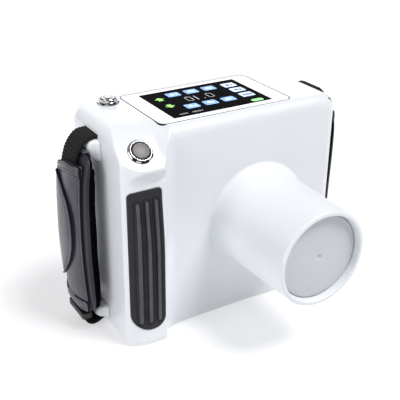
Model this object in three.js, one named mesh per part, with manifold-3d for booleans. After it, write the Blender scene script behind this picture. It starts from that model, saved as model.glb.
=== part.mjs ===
// Handheld intraoral x-ray unit: a white battery-powered camera body with a wide beam cone on its front,
// a display and two metal buttons on its top, a ribbed rubber grip and a padded hand strap on each side.
// Millimetres, +Z up. The beam leaves toward -Y. The origin is at the centre of the base.
import * as THREE from 'three';
import { mergeVertices } from 'three/addons/utils/BufferGeometryUtils.js';
import Module from 'manifold-3d';

// ---- driving dimensions ----
const BODY_HALF_WIDTH = 82.3;
const BODY_HEIGHT = 142.7;
const FACE_Y = -3.6; // main front face
const BACK_Y = 74;
const WALL = 3;
const FIT = 0.3; // clearance between pieces that touch
const TOP_EDGE_R = 8;
const FRONT_TOP_R = 7.5; // ends where the display window starts
const BOTTOM_EDGE_R = 4;
const SHOULDER_R = 11; // rounding of the body's top left and right edges
const COVER_SEAM_Y = 66.5; // the rear cover closes the body behind this plane

const GRIP_FRONT_Y = -14.6; // front of the grip block on the left
const GRIP_CORNER_X = -56.5;
const GRIP_RIGHT_X = -49.6; // the grip block's side outline holds left of this plane
const SLOPE_START_Y = 7.8; // where the sloping button face leaves the top
const SLOPE = THREE.MathUtils.degToRad(40.5);
const BROW_Y = -13.7; // lip at the foot of the slope
const RECESS_Y = -11; // floor of the finger recess under the lip
const RECESS_START_Z = 62;

const CONE_X = 18.8;
const CONE_Z = 69;
const CONE_TIP_Y = -74;
const CONE_FLANGE_R = 37.7;
const CONE_NECK_R = 33.6;
const CONE_TIP_R = 31.9;
const CONE_BORE_R = 28.2;
const CONE_PORT_R = 30; // hole in the body behind the cone
const APERTURE_DEPTH = 4; // the grey disc sits this far inside the tip

const WINDOW = { width: 98, depth: 60, x: 0, y: 33.9, corner: 5, thickness: 1.8 };
const LCD = { width: 75.5, depth: 50.5, thickness: 3 };

const EXPOSE_BUTTON = { x: -67.6, y: -4.4, ringR: 8, capR: 5.2 };
const POWER_BUTTON = { x: -59.3, y: 56.3, ringR: 7.2, capR: 4.6 };
const BUTTON_TRAVEL_GAP = 2; // free space under each cap

const STRAP_Y = 33.8; // middle of the webbing and the straps
const WEBBING = { width: 19.6, thickness: 2 };
const PAD_WIDTH = 35;
const PAD_BOTTOM_Z = 14.5;
const PAD_TOP_Z = 126;
const PAD_INNER_X = 91.6;
const PAD_OVERHANG = 4; // how far the lining's front edge stands ahead of the cover's
const PAD_LEAN = { startZ: 108, distance: 2.2 }; // the lining's top leans toward the upper lug
// The soft filling stands toward the body inside the lining's rolled edge.
const PAD_FILLING = { depth: 5.2, rim: 3, slope: 7, bottomZ: 17, topZ: 114, endSlope: 12 };
const WEBBING_X = 96.6; // webbing centre at the ends of the pad
const WEBBING_BULGE = 2.8; // how far the middle of the strap stands out past its ends
const PAD_BULGE = 1.3;
const COVER_ARCH = 3.6; // how far the cover's middle stands out past its front and rear edges
const LEATHER_THICKNESS = 1.3;
const COVER_BOTTOM_Z = 17;
const COVER_TOP_Z = 121;
const FLAP = { bottom: 34.5, top: 107.5, tipY: 24, reach: 20 };
const UPPER_SLOT_Z = 134.5;
const LOWER_SLOT_Z = 4.5;

// ---- materials ----
const material = (color, roughness, metalness = 0) =>
  new THREE.MeshStandardMaterial({ color, roughness, metalness });
const whitePlastic = () => material(0xf2f3f5, 0.3);
const windowAcrylic = () => material(0xfafafa, 0.12);
const displayBlack = () => material(0x08090b, 0.2);
const boardGreen = () => material(0x1f6b3d, 0.6);
const chrome = () => material(0xd8dadc, 0.15, 1);
const satinSteel = () => material(0xb9b7b5, 0.4, 1);
const darkPlastic = () => material(0x26272b, 0.55);
const ribRubber = () => material(0x2f3036, 0.7);
const greyPlastic = () => material(0xc9cbd0, 0.45);
const lead = () => material(0x6f7278, 0.6, 1);
const castAluminium = () => material(0x9da1a6, 0.5, 1);
const tubeGlass = () => material(0xcfe0e6, 0.1);
const blackWebbing = () => material(0x17171a, 0.9);
const leather = () => material(0x3a3440, 0.55);
const foamFabric = () => material(0x2b2a30, 0.85);

// ---- solids ----
const wasm = await Module();
wasm.setup();

function toSolid(geometry) {
  const bare = geometry.clone();
  bare.deleteAttribute('normal');
  bare.deleteAttribute('uv');
  const merged = mergeVertices(bare, 1e-4);
  return new wasm.Manifold(new wasm.Mesh({
    numProp: 3,
    vertProperties: new Float32Array(merged.attributes.position.array),
    triVerts: new Uint32Array(merged.index.array),
  }));
}

function toGeometry(solid) {
  const out = solid.getMesh();
  const geometry = new THREE.BufferGeometry();
  geometry.setAttribute('position', new THREE.BufferAttribute(new Float32Array(out.vertProperties), 3));
  geometry.setIndex(new THREE.BufferAttribute(new Uint32Array(out.triVerts), 1));
  geometry.computeVertexNormals();
  return geometry;
}

const unit = new THREE.Group();
unit.name = 'intraoral_xray_unit';

function addPart(name, shape, surface, parent = unit) {
  const geometry = shape.isBufferGeometry ? shape : toGeometry(shape);
  const mesh = new THREE.Mesh(geometry, surface);
  mesh.name = name;
  parent.add(mesh);
  return mesh;
}

// Extrusions of flat outlines along each axis of the unit.
function alongZ(shape, z0, z1, curveSegments = 6) {
  const geometry = new THREE.ExtrudeGeometry(shape, { depth: z1 - z0, bevelEnabled: false, curveSegments });
  return toSolid(geometry.translate(0, 0, z0));
}

const XZ_TO_FRONT = new THREE.Matrix4().makeRotationX(Math.PI / 2);
function alongY(shape, y0, y1, curveSegments = 6) {
  const geometry = new THREE.ExtrudeGeometry(shape, { depth: y1 - y0, bevelEnabled: false, curveSegments });
  return toSolid(geometry.applyMatrix4(XZ_TO_FRONT).translate(0, y1, 0));
}

const YZ_TO_SIDE = new THREE.Matrix4().makeBasis(
  new THREE.Vector3(0, 1, 0), new THREE.Vector3(0, 0, 1), new THREE.Vector3(1, 0, 0));
function alongX(shape, x0, x1, curveSegments = 6) {
  const geometry = new THREE.ExtrudeGeometry(shape, { depth: x1 - x0, bevelEnabled: false, curveSegments });
  return toSolid(geometry.applyMatrix4(YZ_TO_SIDE).translate(x0, 0, 0));
}

function box(x0, x1, y0, y1, z0, z1) {
  const geometry = new THREE.BoxGeometry(x1 - x0, y1 - y0, z1 - z0);
  return toSolid(geometry.translate((x0 + x1) / 2, (y0 + y1) / 2, (z0 + z1) / 2));
}

// A solid turned about the Y axis through (x, z).
// The profile lists [radius, y] and ends on the axis or closes.
function turned(profile, x = 0, z = 0, segments = 40) {
  const points = profile.map(([r, y]) => new THREE.Vector2(r, y));
  return toSolid(new THREE.LatheGeometry(points, segments).translate(x, 0, z));
}

function cylinderY(radius, y0, y1, x, z, segments = 40) {
  const geometry = new THREE.CylinderGeometry(radius, radius, y1 - y0, segments);
  return toSolid(geometry.translate(x, (y0 + y1) / 2, z));
}

function roundedRect(x0, x1, y0, y1, corners) {
  const [r00, r10, r11, r01] = Array.isArray(corners) ? corners : [corners, corners, corners, corners];
  const shape = new THREE.Shape();
  shape.moveTo(x0 + r00, y0);
  shape.lineTo(x1 - r10, y0);
  shape.absarc(x1 - r10, y0 + r10, r10, -Math.PI / 2, 0, false);
  shape.lineTo(x1, y1 - r11);
  shape.absarc(x1 - r11, y1 - r11, r11, 0, Math.PI / 2, false);
  shape.lineTo(x0 + r01, y1);
  shape.absarc(x0 + r01, y1 - r01, r01, Math.PI / 2, Math.PI, false);
  shape.lineTo(x0, y0 + r00);
  shape.absarc(x0 + r00, y0 + r00, r00, Math.PI, Math.PI * 1.5, false);
  return shape;
}

// ---- body ----
// Plan outline: the grip block bulges forward at the left,
// then a concave flank leads back to the main front face.
function planOutline(inset) {
  const left = -BODY_HALF_WIDTH + inset;
  const right = BODY_HALF_WIDTH - inset;
  const front = FACE_Y + inset;
  const back = BACK_Y - inset;
  const grip = GRIP_FRONT_Y + inset;
  const frontR = Math.max(TOP_EDGE_R - inset, 1);
  const backLeftR = 18 - inset;
  const backRightR = 28 - inset;
  const shape = new THREE.Shape();
  shape.moveTo(left, -8.5 + inset);
  shape.quadraticCurveTo(left + 7, grip, left + 16, grip);
  shape.lineTo(GRIP_CORNER_X - inset * 0.4, grip);
  shape.quadraticCurveTo(-51 - inset * 0.4, front, -42 - inset * 0.4, front);
  shape.lineTo(right - frontR, front);
  shape.absarc(right - frontR, front + frontR, frontR, -Math.PI / 2, 0, false);
  shape.lineTo(right, back - backRightR);
  shape.absarc(right - backRightR, back - backRightR, backRightR, 0, Math.PI / 2, false);
  shape.lineTo(left + backLeftR, back);
  shape.absarc(left + backLeftR, back - backLeftR, backLeftR, Math.PI / 2, Math.PI, false);
  shape.closePath();
  return shape;
}

// Side outline right of the grip: rounded top and bottom edges, front and back.
const sideOutline = (inset) => roundedRect(
  FACE_Y + inset, BACK_Y - inset, inset, BODY_HEIGHT - inset,
  [BOTTOM_EDGE_R, BOTTOM_EDGE_R, TOP_EDGE_R, FRONT_TOP_R].map((r) => Math.max(r - inset, 0.5)));

const frontOutline = (inset) => roundedRect(
  -BODY_HALF_WIDTH + inset, BODY_HALF_WIDTH - inset, inset, BODY_HEIGHT - inset,
  [BOTTOM_EDGE_R, BOTTOM_EDGE_R, SHOULDER_R, SHOULDER_R].map((r) => Math.max(r - inset, 0.5)));

// Side outline of the grip block: a sloping button face, a lip, and a scooped finger recess below the lip.
function gripOutline(inset) {
  const browZ = BODY_HEIGHT - (SLOPE_START_Y - BROW_Y) * Math.tan(SLOPE);
  const slopeDrop = inset / Math.cos(SLOPE);
  const shape = new THREE.Shape();
  shape.moveTo(30, inset);
  shape.lineTo(GRIP_FRONT_Y + inset + 2, inset);
  shape.quadraticCurveTo(GRIP_FRONT_Y + inset, inset, GRIP_FRONT_Y + inset, inset + 3);
  shape.lineTo(GRIP_FRONT_Y + inset, RECESS_START_Z);
  shape.bezierCurveTo(
    GRIP_FRONT_Y + inset, 88, RECESS_Y - 0.4 + inset, 96, RECESS_Y + inset, 113);
  shape.quadraticCurveTo(RECESS_Y + 0.4 + inset, 119 - inset, BROW_Y + 1 + inset, 121.2 - inset);
  shape.quadraticCurveTo(
    BROW_Y - 0.9 + inset, 122 - inset, BROW_Y + inset, browZ + inset * Math.tan(SLOPE) - slopeDrop);
  shape.lineTo(SLOPE_START_Y, BODY_HEIGHT - slopeDrop);
  shape.lineTo(30, BODY_HEIGHT - inset);
  shape.closePath();
  return shape;
}

function bodySolid(inset) {
  const plan = alongZ(planOutline(inset), inset, BODY_HEIGHT - inset);
  const front = alongY(frontOutline(inset), GRIP_FRONT_Y - 5, BACK_Y + 5);
  const main = alongX(sideOutline(inset), GRIP_RIGHT_X + inset, BODY_HALF_WIDTH + 5);
  const grip = alongX(gripOutline(inset), -BODY_HALF_WIDTH - 5, GRIP_RIGHT_X + inset);
  const rear = alongX(sideOutline(inset), -BODY_HALF_WIDTH - 5, GRIP_RIGHT_X + 5)
    .intersect(box(-BODY_HALF_WIDTH - 5, GRIP_RIGHT_X + 5, 20, BACK_Y + 5, -5, BODY_HEIGHT + 5));
  return plan.intersect(front).intersect(main.add(grip).add(rear));
}

const bodyOuter = bodySolid(0);
const bodyInner = bodySolid(WALL);

// Placement of the two buttons: a group whose +Y axis is the button's outward axis.
function buttonSeat(x, y, z, tilt) {
  const seat = new THREE.Group();
  seat.position.set(x, y, z);
  seat.rotation.x = Math.PI / 2 + tilt;
  seat.updateMatrixWorld(true);
  unit.add(seat);
  return seat;
}

const exposeZ = BODY_HEIGHT - (SLOPE_START_Y - EXPOSE_BUTTON.y) * Math.tan(SLOPE);
const exposeSeat = buttonSeat(EXPOSE_BUTTON.x, EXPOSE_BUTTON.y, exposeZ, SLOPE);
const powerSeat = buttonSeat(POWER_BUTTON.x, POWER_BUTTON.y, BODY_HEIGHT, 0);

function inSeat(seat, geometry) {
  return toSolid(geometry.clone().applyMatrix4(seat.matrixWorld));
}

function buttonBore(button, seat) {
  const bore = new THREE.CylinderGeometry(button.ringR - 1.5, button.ringR - 1.5, 30, 32);
  return inSeat(seat, bore.translate(0, -8, 0));
}

// Window pocket: a shallow seat for the window with a smaller opening for the display below it.
const windowSides = (gap) => [
  WINDOW.x - WINDOW.width / 2 - gap, WINDOW.x + WINDOW.width / 2 + gap,
  WINDOW.y - WINDOW.depth / 2 - gap, WINDOW.y + WINDOW.depth / 2 + gap];
const windowOutline = (gap) => roundedRect(...windowSides(gap), WINDOW.corner + gap);
const windowPocket = alongZ(
  windowOutline(FIT), BODY_HEIGHT - WINDOW.thickness - FIT, BODY_HEIGHT + 5);
const displayOpening = box(
  WINDOW.x - LCD.width / 2 - FIT, WINDOW.x + LCD.width / 2 + FIT,
  WINDOW.y - LCD.depth / 2 - FIT, WINDOW.y + LCD.depth / 2 + FIT, BODY_HEIGHT - 10, BODY_HEIGHT + 5);

const conePort = cylinderY(CONE_PORT_R, FACE_Y - 5, FACE_Y + 15, CONE_X, CONE_Z);

// Webbing passes through a slot in each side wall, one near the top and one near the base.
function webbingSlot(side, z) {
  const [x0, x1] = side < 0 ? [-BODY_HALF_WIDTH - 3, -70] : [70, BODY_HALF_WIDTH + 3];
  const halfWidth = WEBBING.width / 2 + FIT;
  const halfHeight = WEBBING.thickness / 2 + FIT;
  return box(x0, x1, STRAP_Y - halfWidth, STRAP_Y + halfWidth, z - halfHeight, z + halfHeight);
}

// Pocket in the grip's front that the rubber pad is bonded into.
const GRIP_PAD = { left: -80.4, right: -57.4, bottom: 12.5, top: 110.5 };
const gripPadOutline = (gap) => roundedRect(
  GRIP_PAD.left - gap, GRIP_PAD.right + gap, GRIP_PAD.bottom - gap, GRIP_PAD.top + gap,
  [13, 8, 3, 3].map((r) => r + gap));

const GRIP_PAD_DEPTH = 1.2;
const GRIP_PAD_RISE = 0.6;
const GRIP_RIB_RISE = 1.7;

// The layer of the body's front, inside an outline,
// from a height above its surface down to a depth below it.
const frontLayer = (outline, rise, depth) => bodySolid(-rise)
  .subtract(bodySolid(depth))
  .intersect(alongY(outline, GRIP_FRONT_Y - 5, FACE_Y + 2));

// The housing is open at the back, where the rear cover closes it.
const behindSeam = (gap) => box(
  -BODY_HALF_WIDTH - 5, BODY_HALF_WIDTH + 5, COVER_SEAM_Y - gap, BACK_Y + 10, -5, BODY_HEIGHT + 5);
const SCREW_SPOTS = [[-56, 16], [56, 16], [-56, 122], [56, 122]];
const SCREW_POST_R = 4.5;
const SCREW_R = 1.6;

function makeHousing() {
  let shell = bodyOuter.subtract(bodyInner);
  for (const [x, z] of SCREW_SPOTS) {
    const foot = z < BODY_HEIGHT / 2 ? z - 14 : z;
    const head = z < BODY_HEIGHT / 2 ? z : z + 19;
    const web = box(x - 1.5, x + 1.5, COVER_SEAM_Y - 16, COVER_SEAM_Y, foot, head);
    const post = cylinderY(SCREW_POST_R, COVER_SEAM_Y - 16, COVER_SEAM_Y, x, z, 20);
    shell = shell.add(web.add(post).intersect(bodyOuter));
  }
  shell = shell
    .subtract(behindSeam(0))
    .subtract(windowPocket)
    .subtract(displayOpening)
    .subtract(conePort)
    .subtract(buttonBore(EXPOSE_BUTTON, exposeSeat))
    .subtract(buttonBore(POWER_BUTTON, powerSeat))
    .subtract(frontLayer(gripPadOutline(FIT), 3, GRIP_PAD_DEPTH + FIT));
  for (const side of [-1, 1]) {
    shell = shell.subtract(webbingSlot(side, UPPER_SLOT_Z)).subtract(webbingSlot(side, LOWER_SLOT_Z));
  }
  for (const [x, z] of SCREW_SPOTS) {
    shell = shell.subtract(cylinderY(SCREW_R, COVER_SEAM_Y - 13, COVER_SEAM_Y + 5, x, z, 16));
  }
  return shell;
}

function makeRearCover() {
  let cover = bodyOuter.subtract(bodyInner).intersect(behindSeam(-FIT));
  for (const [x, z] of SCREW_SPOTS) {
    const post = cylinderY(SCREW_POST_R, COVER_SEAM_Y + FIT, BACK_Y, x, z, 20);
    cover = cover.add(post.intersect(bodyOuter));
  }
  for (const [x, z] of SCREW_SPOTS) {
    cover = cover
      .subtract(cylinderY(SCREW_R + FIT, COVER_SEAM_Y - 2, BACK_Y + 5, x, z, 16))
      .subtract(cylinderY(3.2, COVER_SEAM_Y + 4, BACK_Y + 5, x, z, 20));
  }
  return cover.subtract(socketBody(FIT));
}

// Charging socket low on the rear cover: a round barrel inlet with a centre pin.
const SOCKET = { x: -40, z: 24, flangeR: 6.5, barrelR: 5, length: 14 };
function socketBody(gap) {
  return cylinderY(SOCKET.barrelR + gap, BACK_Y - SOCKET.length, BACK_Y + 1, SOCKET.x, SOCKET.z, 24);
}
function makeSocket() {
  const { x, z, barrelR, length } = SOCKET;
  const barrel = turned([
    [0, BACK_Y - length], [barrelR, BACK_Y - length], [barrelR, BACK_Y - 0.6], [2.9, BACK_Y - 0.6],
    [2.9, BACK_Y - 10], [1, BACK_Y - 10], [1, BACK_Y - 1.5], [0, BACK_Y - 1.5]], x, z, 24);
  return barrel;
}

// A countersunk-style case screw: head in the cover's well, shank in the housing's post.
function makeRearScrew(x, z) {
  const seat = COVER_SEAM_Y + 4 + FIT;
  return turned([
    [0, COVER_SEAM_Y - 11], [SCREW_R - FIT, COVER_SEAM_Y - 11], [SCREW_R - FIT, seat], [2.8, seat],
    [2.8, seat + 2.4], [1.2, seat + 2.4], [1.2, seat + 1.2], [0, seat + 1.2]], x, z, 16);
}

addPart('housing', makeHousing(), whitePlastic());
addPart('rear_cover', makeRearCover(), whitePlastic());
addPart('charging_socket', makeSocket(), darkPlastic());
SCREW_SPOTS.forEach(([x, z], i) => addPart(`rear_screw_${i + 1}`, makeRearScrew(x, z), satinSteel()));

// ---- grip ----
function makeGripPad() {
  let pad = frontLayer(gripPadOutline(0), GRIP_PAD_RISE, GRIP_PAD_DEPTH);
  for (const x of [-74.6, -68.4, -62.2]) {
    const rib = roundedRect(x - 1.3, x + 1.3, GRIP_PAD.bottom + 6, GRIP_PAD.top - 7, 1.2);
    pad = pad.add(frontLayer(rib, GRIP_RIB_RISE, GRIP_PAD_DEPTH - 0.2));
  }
  return pad;
}
addPart('grip_pad', makeGripPad(), ribRubber());

// ---- display ----
const windowTop = BODY_HEIGHT;
const windowBottom = BODY_HEIGHT - WINDOW.thickness;
addPart('display_window', alongZ(windowOutline(0), windowBottom, windowTop), windowAcrylic());
const lcdTop = windowBottom - FIT;
const lcdBottom = lcdTop - LCD.thickness;
addPart('lcd_module', box(
  WINDOW.x - LCD.width / 2, WINDOW.x + LCD.width / 2,
  WINDOW.y - LCD.depth / 2, WINDOW.y + LCD.depth / 2, lcdBottom, lcdTop), displayBlack());
addPart('display_board', box(-42, 42, 8, 52, lcdBottom - 3.4, lcdBottom - 1.8), boardGreen());

// ---- buttons: a chrome ring, a sprung metal cap and a switch body behind the wall ----
function makeButton(name, button, seat, crown) {
  const { ringR, capR } = button;
  const ring = [
    [capR + FIT, -9], [ringR - 1.8, -9], [ringR - 1.8, FIT], [ringR, FIT], [ringR, 0.9],
    [ringR - 0.8, 1.5], [capR + 1.1, 1.9], [capR + FIT, 1.3], [capR + FIT, -9]];
  const cap = [
    [0, -7], [capR - 0.8, -7], [capR - 0.8, -5], [capR, -5], [capR, crown - 0.8],
    [capR - 0.8, crown], [0, crown + 0.3]];
  const switchTop = -7 - BUTTON_TRAVEL_GAP;
  const switchBody = [
    [0, switchTop - 10], [ringR - 1.8, switchTop - 10], [ringR - 1.8, switchTop - FIT],
    [0, switchTop - FIT]];
  const lathe = (profile) => new THREE.LatheGeometry(
    profile.map(([r, y]) => new THREE.Vector2(r, y)), 24);
  addPart(`${name}_button_ring`, lathe(ring), chrome(), seat);
  addPart(`${name}_button_cap`, lathe(cap), satinSteel(), seat);
  addPart(`${name}_switch`, lathe(switchBody), darkPlastic(), seat);
}
makeButton('exposure', EXPOSE_BUTTON, exposeSeat, 1.9);
makeButton('power', POWER_BUTTON, powerSeat, 3.9);

// ---- beam cone: an open tube with a flared base, a lead liner and a recessed grey aperture disc ----
const FACE_GAP_Y = FACE_Y - FIT;
function flare(steps) {
  const points = [];
  for (let i = 0; i <= steps; i += 1) {
    const t = (i / steps) * (Math.PI / 2);
    const r = CONE_NECK_R + (CONE_FLANGE_R - CONE_NECK_R) * (1 - Math.sin(t));
    points.push([r, FACE_GAP_Y - 0.8 - 13.5 * (1 - Math.cos(t))]);
  }
  return points;
}
addPart('beam_cone', turned([
  [CONE_BORE_R, FACE_GAP_Y], [CONE_FLANGE_R, FACE_GAP_Y], ...flare(6),
  [CONE_TIP_R + 0.1, CONE_TIP_Y + 1.5], [CONE_TIP_R - 1.2, CONE_TIP_Y],
  [CONE_BORE_R + 0.8, CONE_TIP_Y], [CONE_BORE_R, CONE_TIP_Y + 0.8], [CONE_BORE_R, FACE_GAP_Y],
].reverse(), CONE_X, CONE_Z), whitePlastic());

const discFront = CONE_TIP_Y + APERTURE_DEPTH;
addPart('aperture_disc', turned([
  [0, discFront + 1.2], [1.4, discFront + 1.2], [2.4, discFront], [CONE_BORE_R - FIT, discFront],
  [CONE_BORE_R - FIT, discFront + 2.5], [0, discFront + 2.5],
], CONE_X, CONE_Z), greyPlastic());
addPart('cone_liner', turned([
  [CONE_BORE_R - 2, discFront + 3], [CONE_BORE_R - FIT, discFront + 3],
  [CONE_BORE_R - FIT, FACE_Y + 9], [CONE_BORE_R - 2, FACE_Y + 9], [CONE_BORE_R - 2, discFront + 3],
], CONE_X, CONE_Z, 40), lead());

// ---- tube head behind the cone ----
const HEAD = { x0: -19, x1: 57, y0: 6.5, y1: 50, z0: 32, z1: 106, wall: 3.5 };
const BEAM_PORT_R = 11;
function makeTubeHeadCase() {
  const { x0, x1, y0, y1, z0, z1, wall } = HEAD;
  const block = alongY(roundedRect(x0, x1, z0, z1, 8), y0, y1);
  const hollow = alongY(roundedRect(x0 + wall, x1 - wall, z0 + wall, z1 - wall, 5), y0 + wall, y1 + 5);
  return block.subtract(hollow).subtract(cylinderY(BEAM_PORT_R, y0 - 5, y0 + 5, CONE_X, CONE_Z, 32));
}
addPart('tube_head_case', makeTubeHeadCase(), castAluminium());
addPart('tube_head_lid', alongY(
  roundedRect(HEAD.x0, HEAD.x1, HEAD.z0, HEAD.z1, 8), HEAD.y1 + FIT, HEAD.y1 + 4.5), castAluminium());
addPart('collimator_plate', turned([
  [6, HEAD.y0 - 1.6], [CONE_BORE_R - 3, HEAD.y0 - 1.6], [CONE_BORE_R - 3, HEAD.y0 - FIT],
  [6, HEAD.y0 - FIT], [6, HEAD.y0 - 1.6],
], CONE_X, CONE_Z, 40), lead());
addPart('aluminium_filter', cylinderY(9, HEAD.y0 - 3.5, HEAD.y0 - 2, CONE_X, CONE_Z, 32), castAluminium());

// The tube is a stepped glass capsule across the head, with its target on the beam axis.
function makeXrayTube() {
  const profile = [[0, -26], [5, -26], [5, -17], [9.5, -13], [9.5, 15], [5, 19], [5, 26], [0, 26]];
  const points = profile.map(([r, y]) => new THREE.Vector2(r, y));
  const geometry = new THREE.LatheGeometry(points, 20);
  return geometry.rotateZ(Math.PI / 2).translate(CONE_X, 24, CONE_Z);
}
addPart('xray_tube', toSolid(makeXrayTube()), tubeGlass());
addPart('high_voltage_board', box(-12, 50, 38, 46, 40, 98), boardGreen());

// ---- battery and main board, left of the tube head ----
addPart('battery_pack', alongY(roundedRect(-76, -24, 10, 88, 4), 4, 44), darkPlastic());
addPart('main_board', box(-76, -24, 47, 48.6, 12, 110), boardGreen());

// ---- hand straps, one on each side ----
// Outlines are drawn as distance outward from the unit's middle plane against height.
const padMiddleZ = (PAD_TOP_Z + PAD_BOTTOM_Z) / 2;
const padHalfHeight = (PAD_TOP_Z - PAD_BOTTOM_Z) / 2;
const bulge = (z) => 1 - ((z - padMiddleZ) / padHalfHeight) ** 2;

function sweptPiece(side, outline, y0, y1) {
  const points = outline.map(([x, z]) => new THREE.Vector2(side * x, z));
  return alongY(new THREE.Shape(points), y0, y1);
}

// Faces of the strap's layers, from the hand outward: padded lining, webbing, leather cover, closing flap.
function padLean(z) {
  const height = Math.max(z - PAD_LEAN.startZ, 0) / (PAD_TOP_Z - PAD_LEAN.startZ);
  return PAD_LEAN.distance * height ** 2;
}
const arch = (y) => COVER_ARCH * (1 - Math.abs((y - STRAP_Y) / (PAD_WIDTH / 2)) ** 3);
const webbingX = (z) => WEBBING_X + WEBBING_BULGE * bulge(z);
const padShellX = (z) => PAD_INNER_X + PAD_BULGE * bulge(z) - padLean(z);
const padOuterX = (y, z) => webbingX(z) - WEBBING.thickness / 2 - 3 * FIT - padLean(z);
const coverInnerX = (y, z) => webbingX(z) - WEBBING.thickness / 2 - 2 * FIT + arch(y);
const coverOuterX = (y, z) => coverInnerX(y, z) + LEATHER_THICKNESS;
const flapInnerX = (y, z) => coverOuterX(y, z) + FIT;
const flapOuterX = (y, z) => flapInnerX(y, z) + LEATHER_THICKNESS;

const STRAP_FRONT_Y = STRAP_Y - PAD_WIDTH / 2;
const STRAP_REAR_Y = STRAP_Y + PAD_WIDTH / 2;

// Quarter round from 0 at the start to 1 after the given length.
function roundRise(distance, length) {
  const left = 1 - Math.min(Math.max(distance / length, 0), 1);
  return Math.sqrt(1 - left ** 2);
}

function padInnerX(y, z) {
  const { depth, rim, slope, bottomZ, topZ, endSlope } = PAD_FILLING;
  const fromFront = roundRise(y - (STRAP_FRONT_Y - PAD_OVERHANG) - rim, slope);
  const fromRear = roundRise(STRAP_REAR_Y - rim - y, slope);
  const fromEnds = roundRise(z - bottomZ, endSlope) * roundRise(topZ - z, endSlope);
  return padShellX(z) - depth * fromFront * fromRear * fromEnds;
}

// A layer of the strap between two curved faces, each an outward distance at every (y, z).
function strapLayer(side, innerX, outerX, z0, z1, frontY = () => STRAP_FRONT_Y) {
  const geometry = new THREE.BoxGeometry(2, PAD_WIDTH, z1 - z0, 1, 10, 10);
  geometry.translate(0, STRAP_Y, (z0 + z1) / 2);
  const place = geometry.attributes.position;
  for (let i = 0; i < place.count; i += 1) {
    const z = place.getZ(i);
    const fromRear = (STRAP_REAR_Y - place.getY(i)) / PAD_WIDTH;
    const y = STRAP_REAR_Y - fromRear * (STRAP_REAR_Y - frontY(z));
    const face = place.getX(i) * side > 0 ? outerX : innerX;
    place.setXYZ(i, side * face(y, z), y, z);
  }
  return toSolid(geometry);
}

// Webbing route: out of the upper slot, over the lug, down behind the cover and back in at the base.
function webbingRoute() {
  const down = [120, 100, 80, 60, 40, 18].map((z) => [webbingX(z), z]);
  const points = [
    [78.3, UPPER_SLOT_Z], [84.2, UPPER_SLOT_Z + 0.2], [88.2, UPPER_SLOT_Z - 0.6],
    [91.7, UPPER_SLOT_Z - 3.5], [94.8, UPPER_SLOT_Z - 8], ...down,
    [WEBBING_X, 12], [WEBBING_X, 8.5], [95.2, 4.2], [92, 2.2], [88.4, 2.6],
    [84.2, LOWER_SLOT_Z], [78.3, LOWER_SLOT_Z]];
  const curve = new THREE.CatmullRomCurve3(points.map(([x, z]) => new THREE.Vector3(x, 0, z)));
  return curve.getSpacedPoints(46).map((p) => [p.x, p.z]);
}

function makeWebbing(side) {
  const route = webbingRoute();
  const half = WEBBING.thickness / 2;
  const sidePoint = (i, direction) => {
    const [ax, az] = route[Math.max(i - 1, 0)];
    const [bx, bz] = route[Math.min(i + 1, route.length - 1)];
    const length = Math.hypot(bx - ax, bz - az);
    const [x, z] = route[i];
    return [x - (direction * half * (bz - az)) / length, z + (direction * half * (bx - ax)) / length];
  };
  const outer = route.map((_, i) => sidePoint(i, 1));
  const inner = route.map((_, i) => sidePoint(i, -1)).reverse();
  return sweptPiece(side, [...outer, ...inner], STRAP_Y - WEBBING.width / 2, STRAP_Y + WEBBING.width / 2);
}

// The flap reaches furthest forward at half height and sweeps back to both ends.
const flapMiddleZ = (FLAP.bottom + FLAP.top) / 2;
const flapFrontY = (z) => FLAP.tipY + FLAP.reach * ((z - flapMiddleZ) / (FLAP.top - flapMiddleZ)) ** 2;

// Flat buckle frame round the webbing below the pad.
const SLIDER = { z0: 9, z1: 13, wall: 2 };
function makeSlider(side) {
  const halfX = WEBBING.thickness / 2 + FIT;
  const halfY = WEBBING.width / 2 + FIT;
  const centre = side * WEBBING_X;
  const { z0, z1, wall } = SLIDER;
  const frame = box(
    centre - halfX - wall, centre + halfX + wall,
    STRAP_Y - halfY - wall, STRAP_Y + halfY + wall, z0, z1);
  return frame.subtract(box(
    centre - halfX, centre + halfX, STRAP_Y - halfY, STRAP_Y + halfY, z0 - 1, z1 + 1));
}

const LUG_X = BODY_HALF_WIDTH + FIT;
const LUG_HALF_Y = WEBBING.width / 2 + 1;
const UPPER_LUG = [
  [LUG_X, UPPER_SLOT_Z - 14], [87.2, UPPER_SLOT_Z - 12.5], [88.4, UPPER_SLOT_Z - 3.9],
  [86.8, UPPER_SLOT_Z - 2.1], [LUG_X, UPPER_SLOT_Z - 1.4]];
const LOWER_LUG = [
  [LUG_X, LOWER_SLOT_Z + 1.4], [86.5, LOWER_SLOT_Z + 1.2], [88.9, LOWER_SLOT_Z + 2.8],
  [87.6, LOWER_SLOT_Z + 8], [LUG_X, LOWER_SLOT_Z + 11]];

// Leather tongue folded over the top of the lining, between it and the upper lug.
const TAB = [
  [88.1, 122], [88.1, 126.2], [89, 127.9], [91.2, 127.9], [92.6, 126.9], [92.4, 126.4], [89.3, 126.4],
  [89.1, 125.8], [89.1, 122]];

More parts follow.
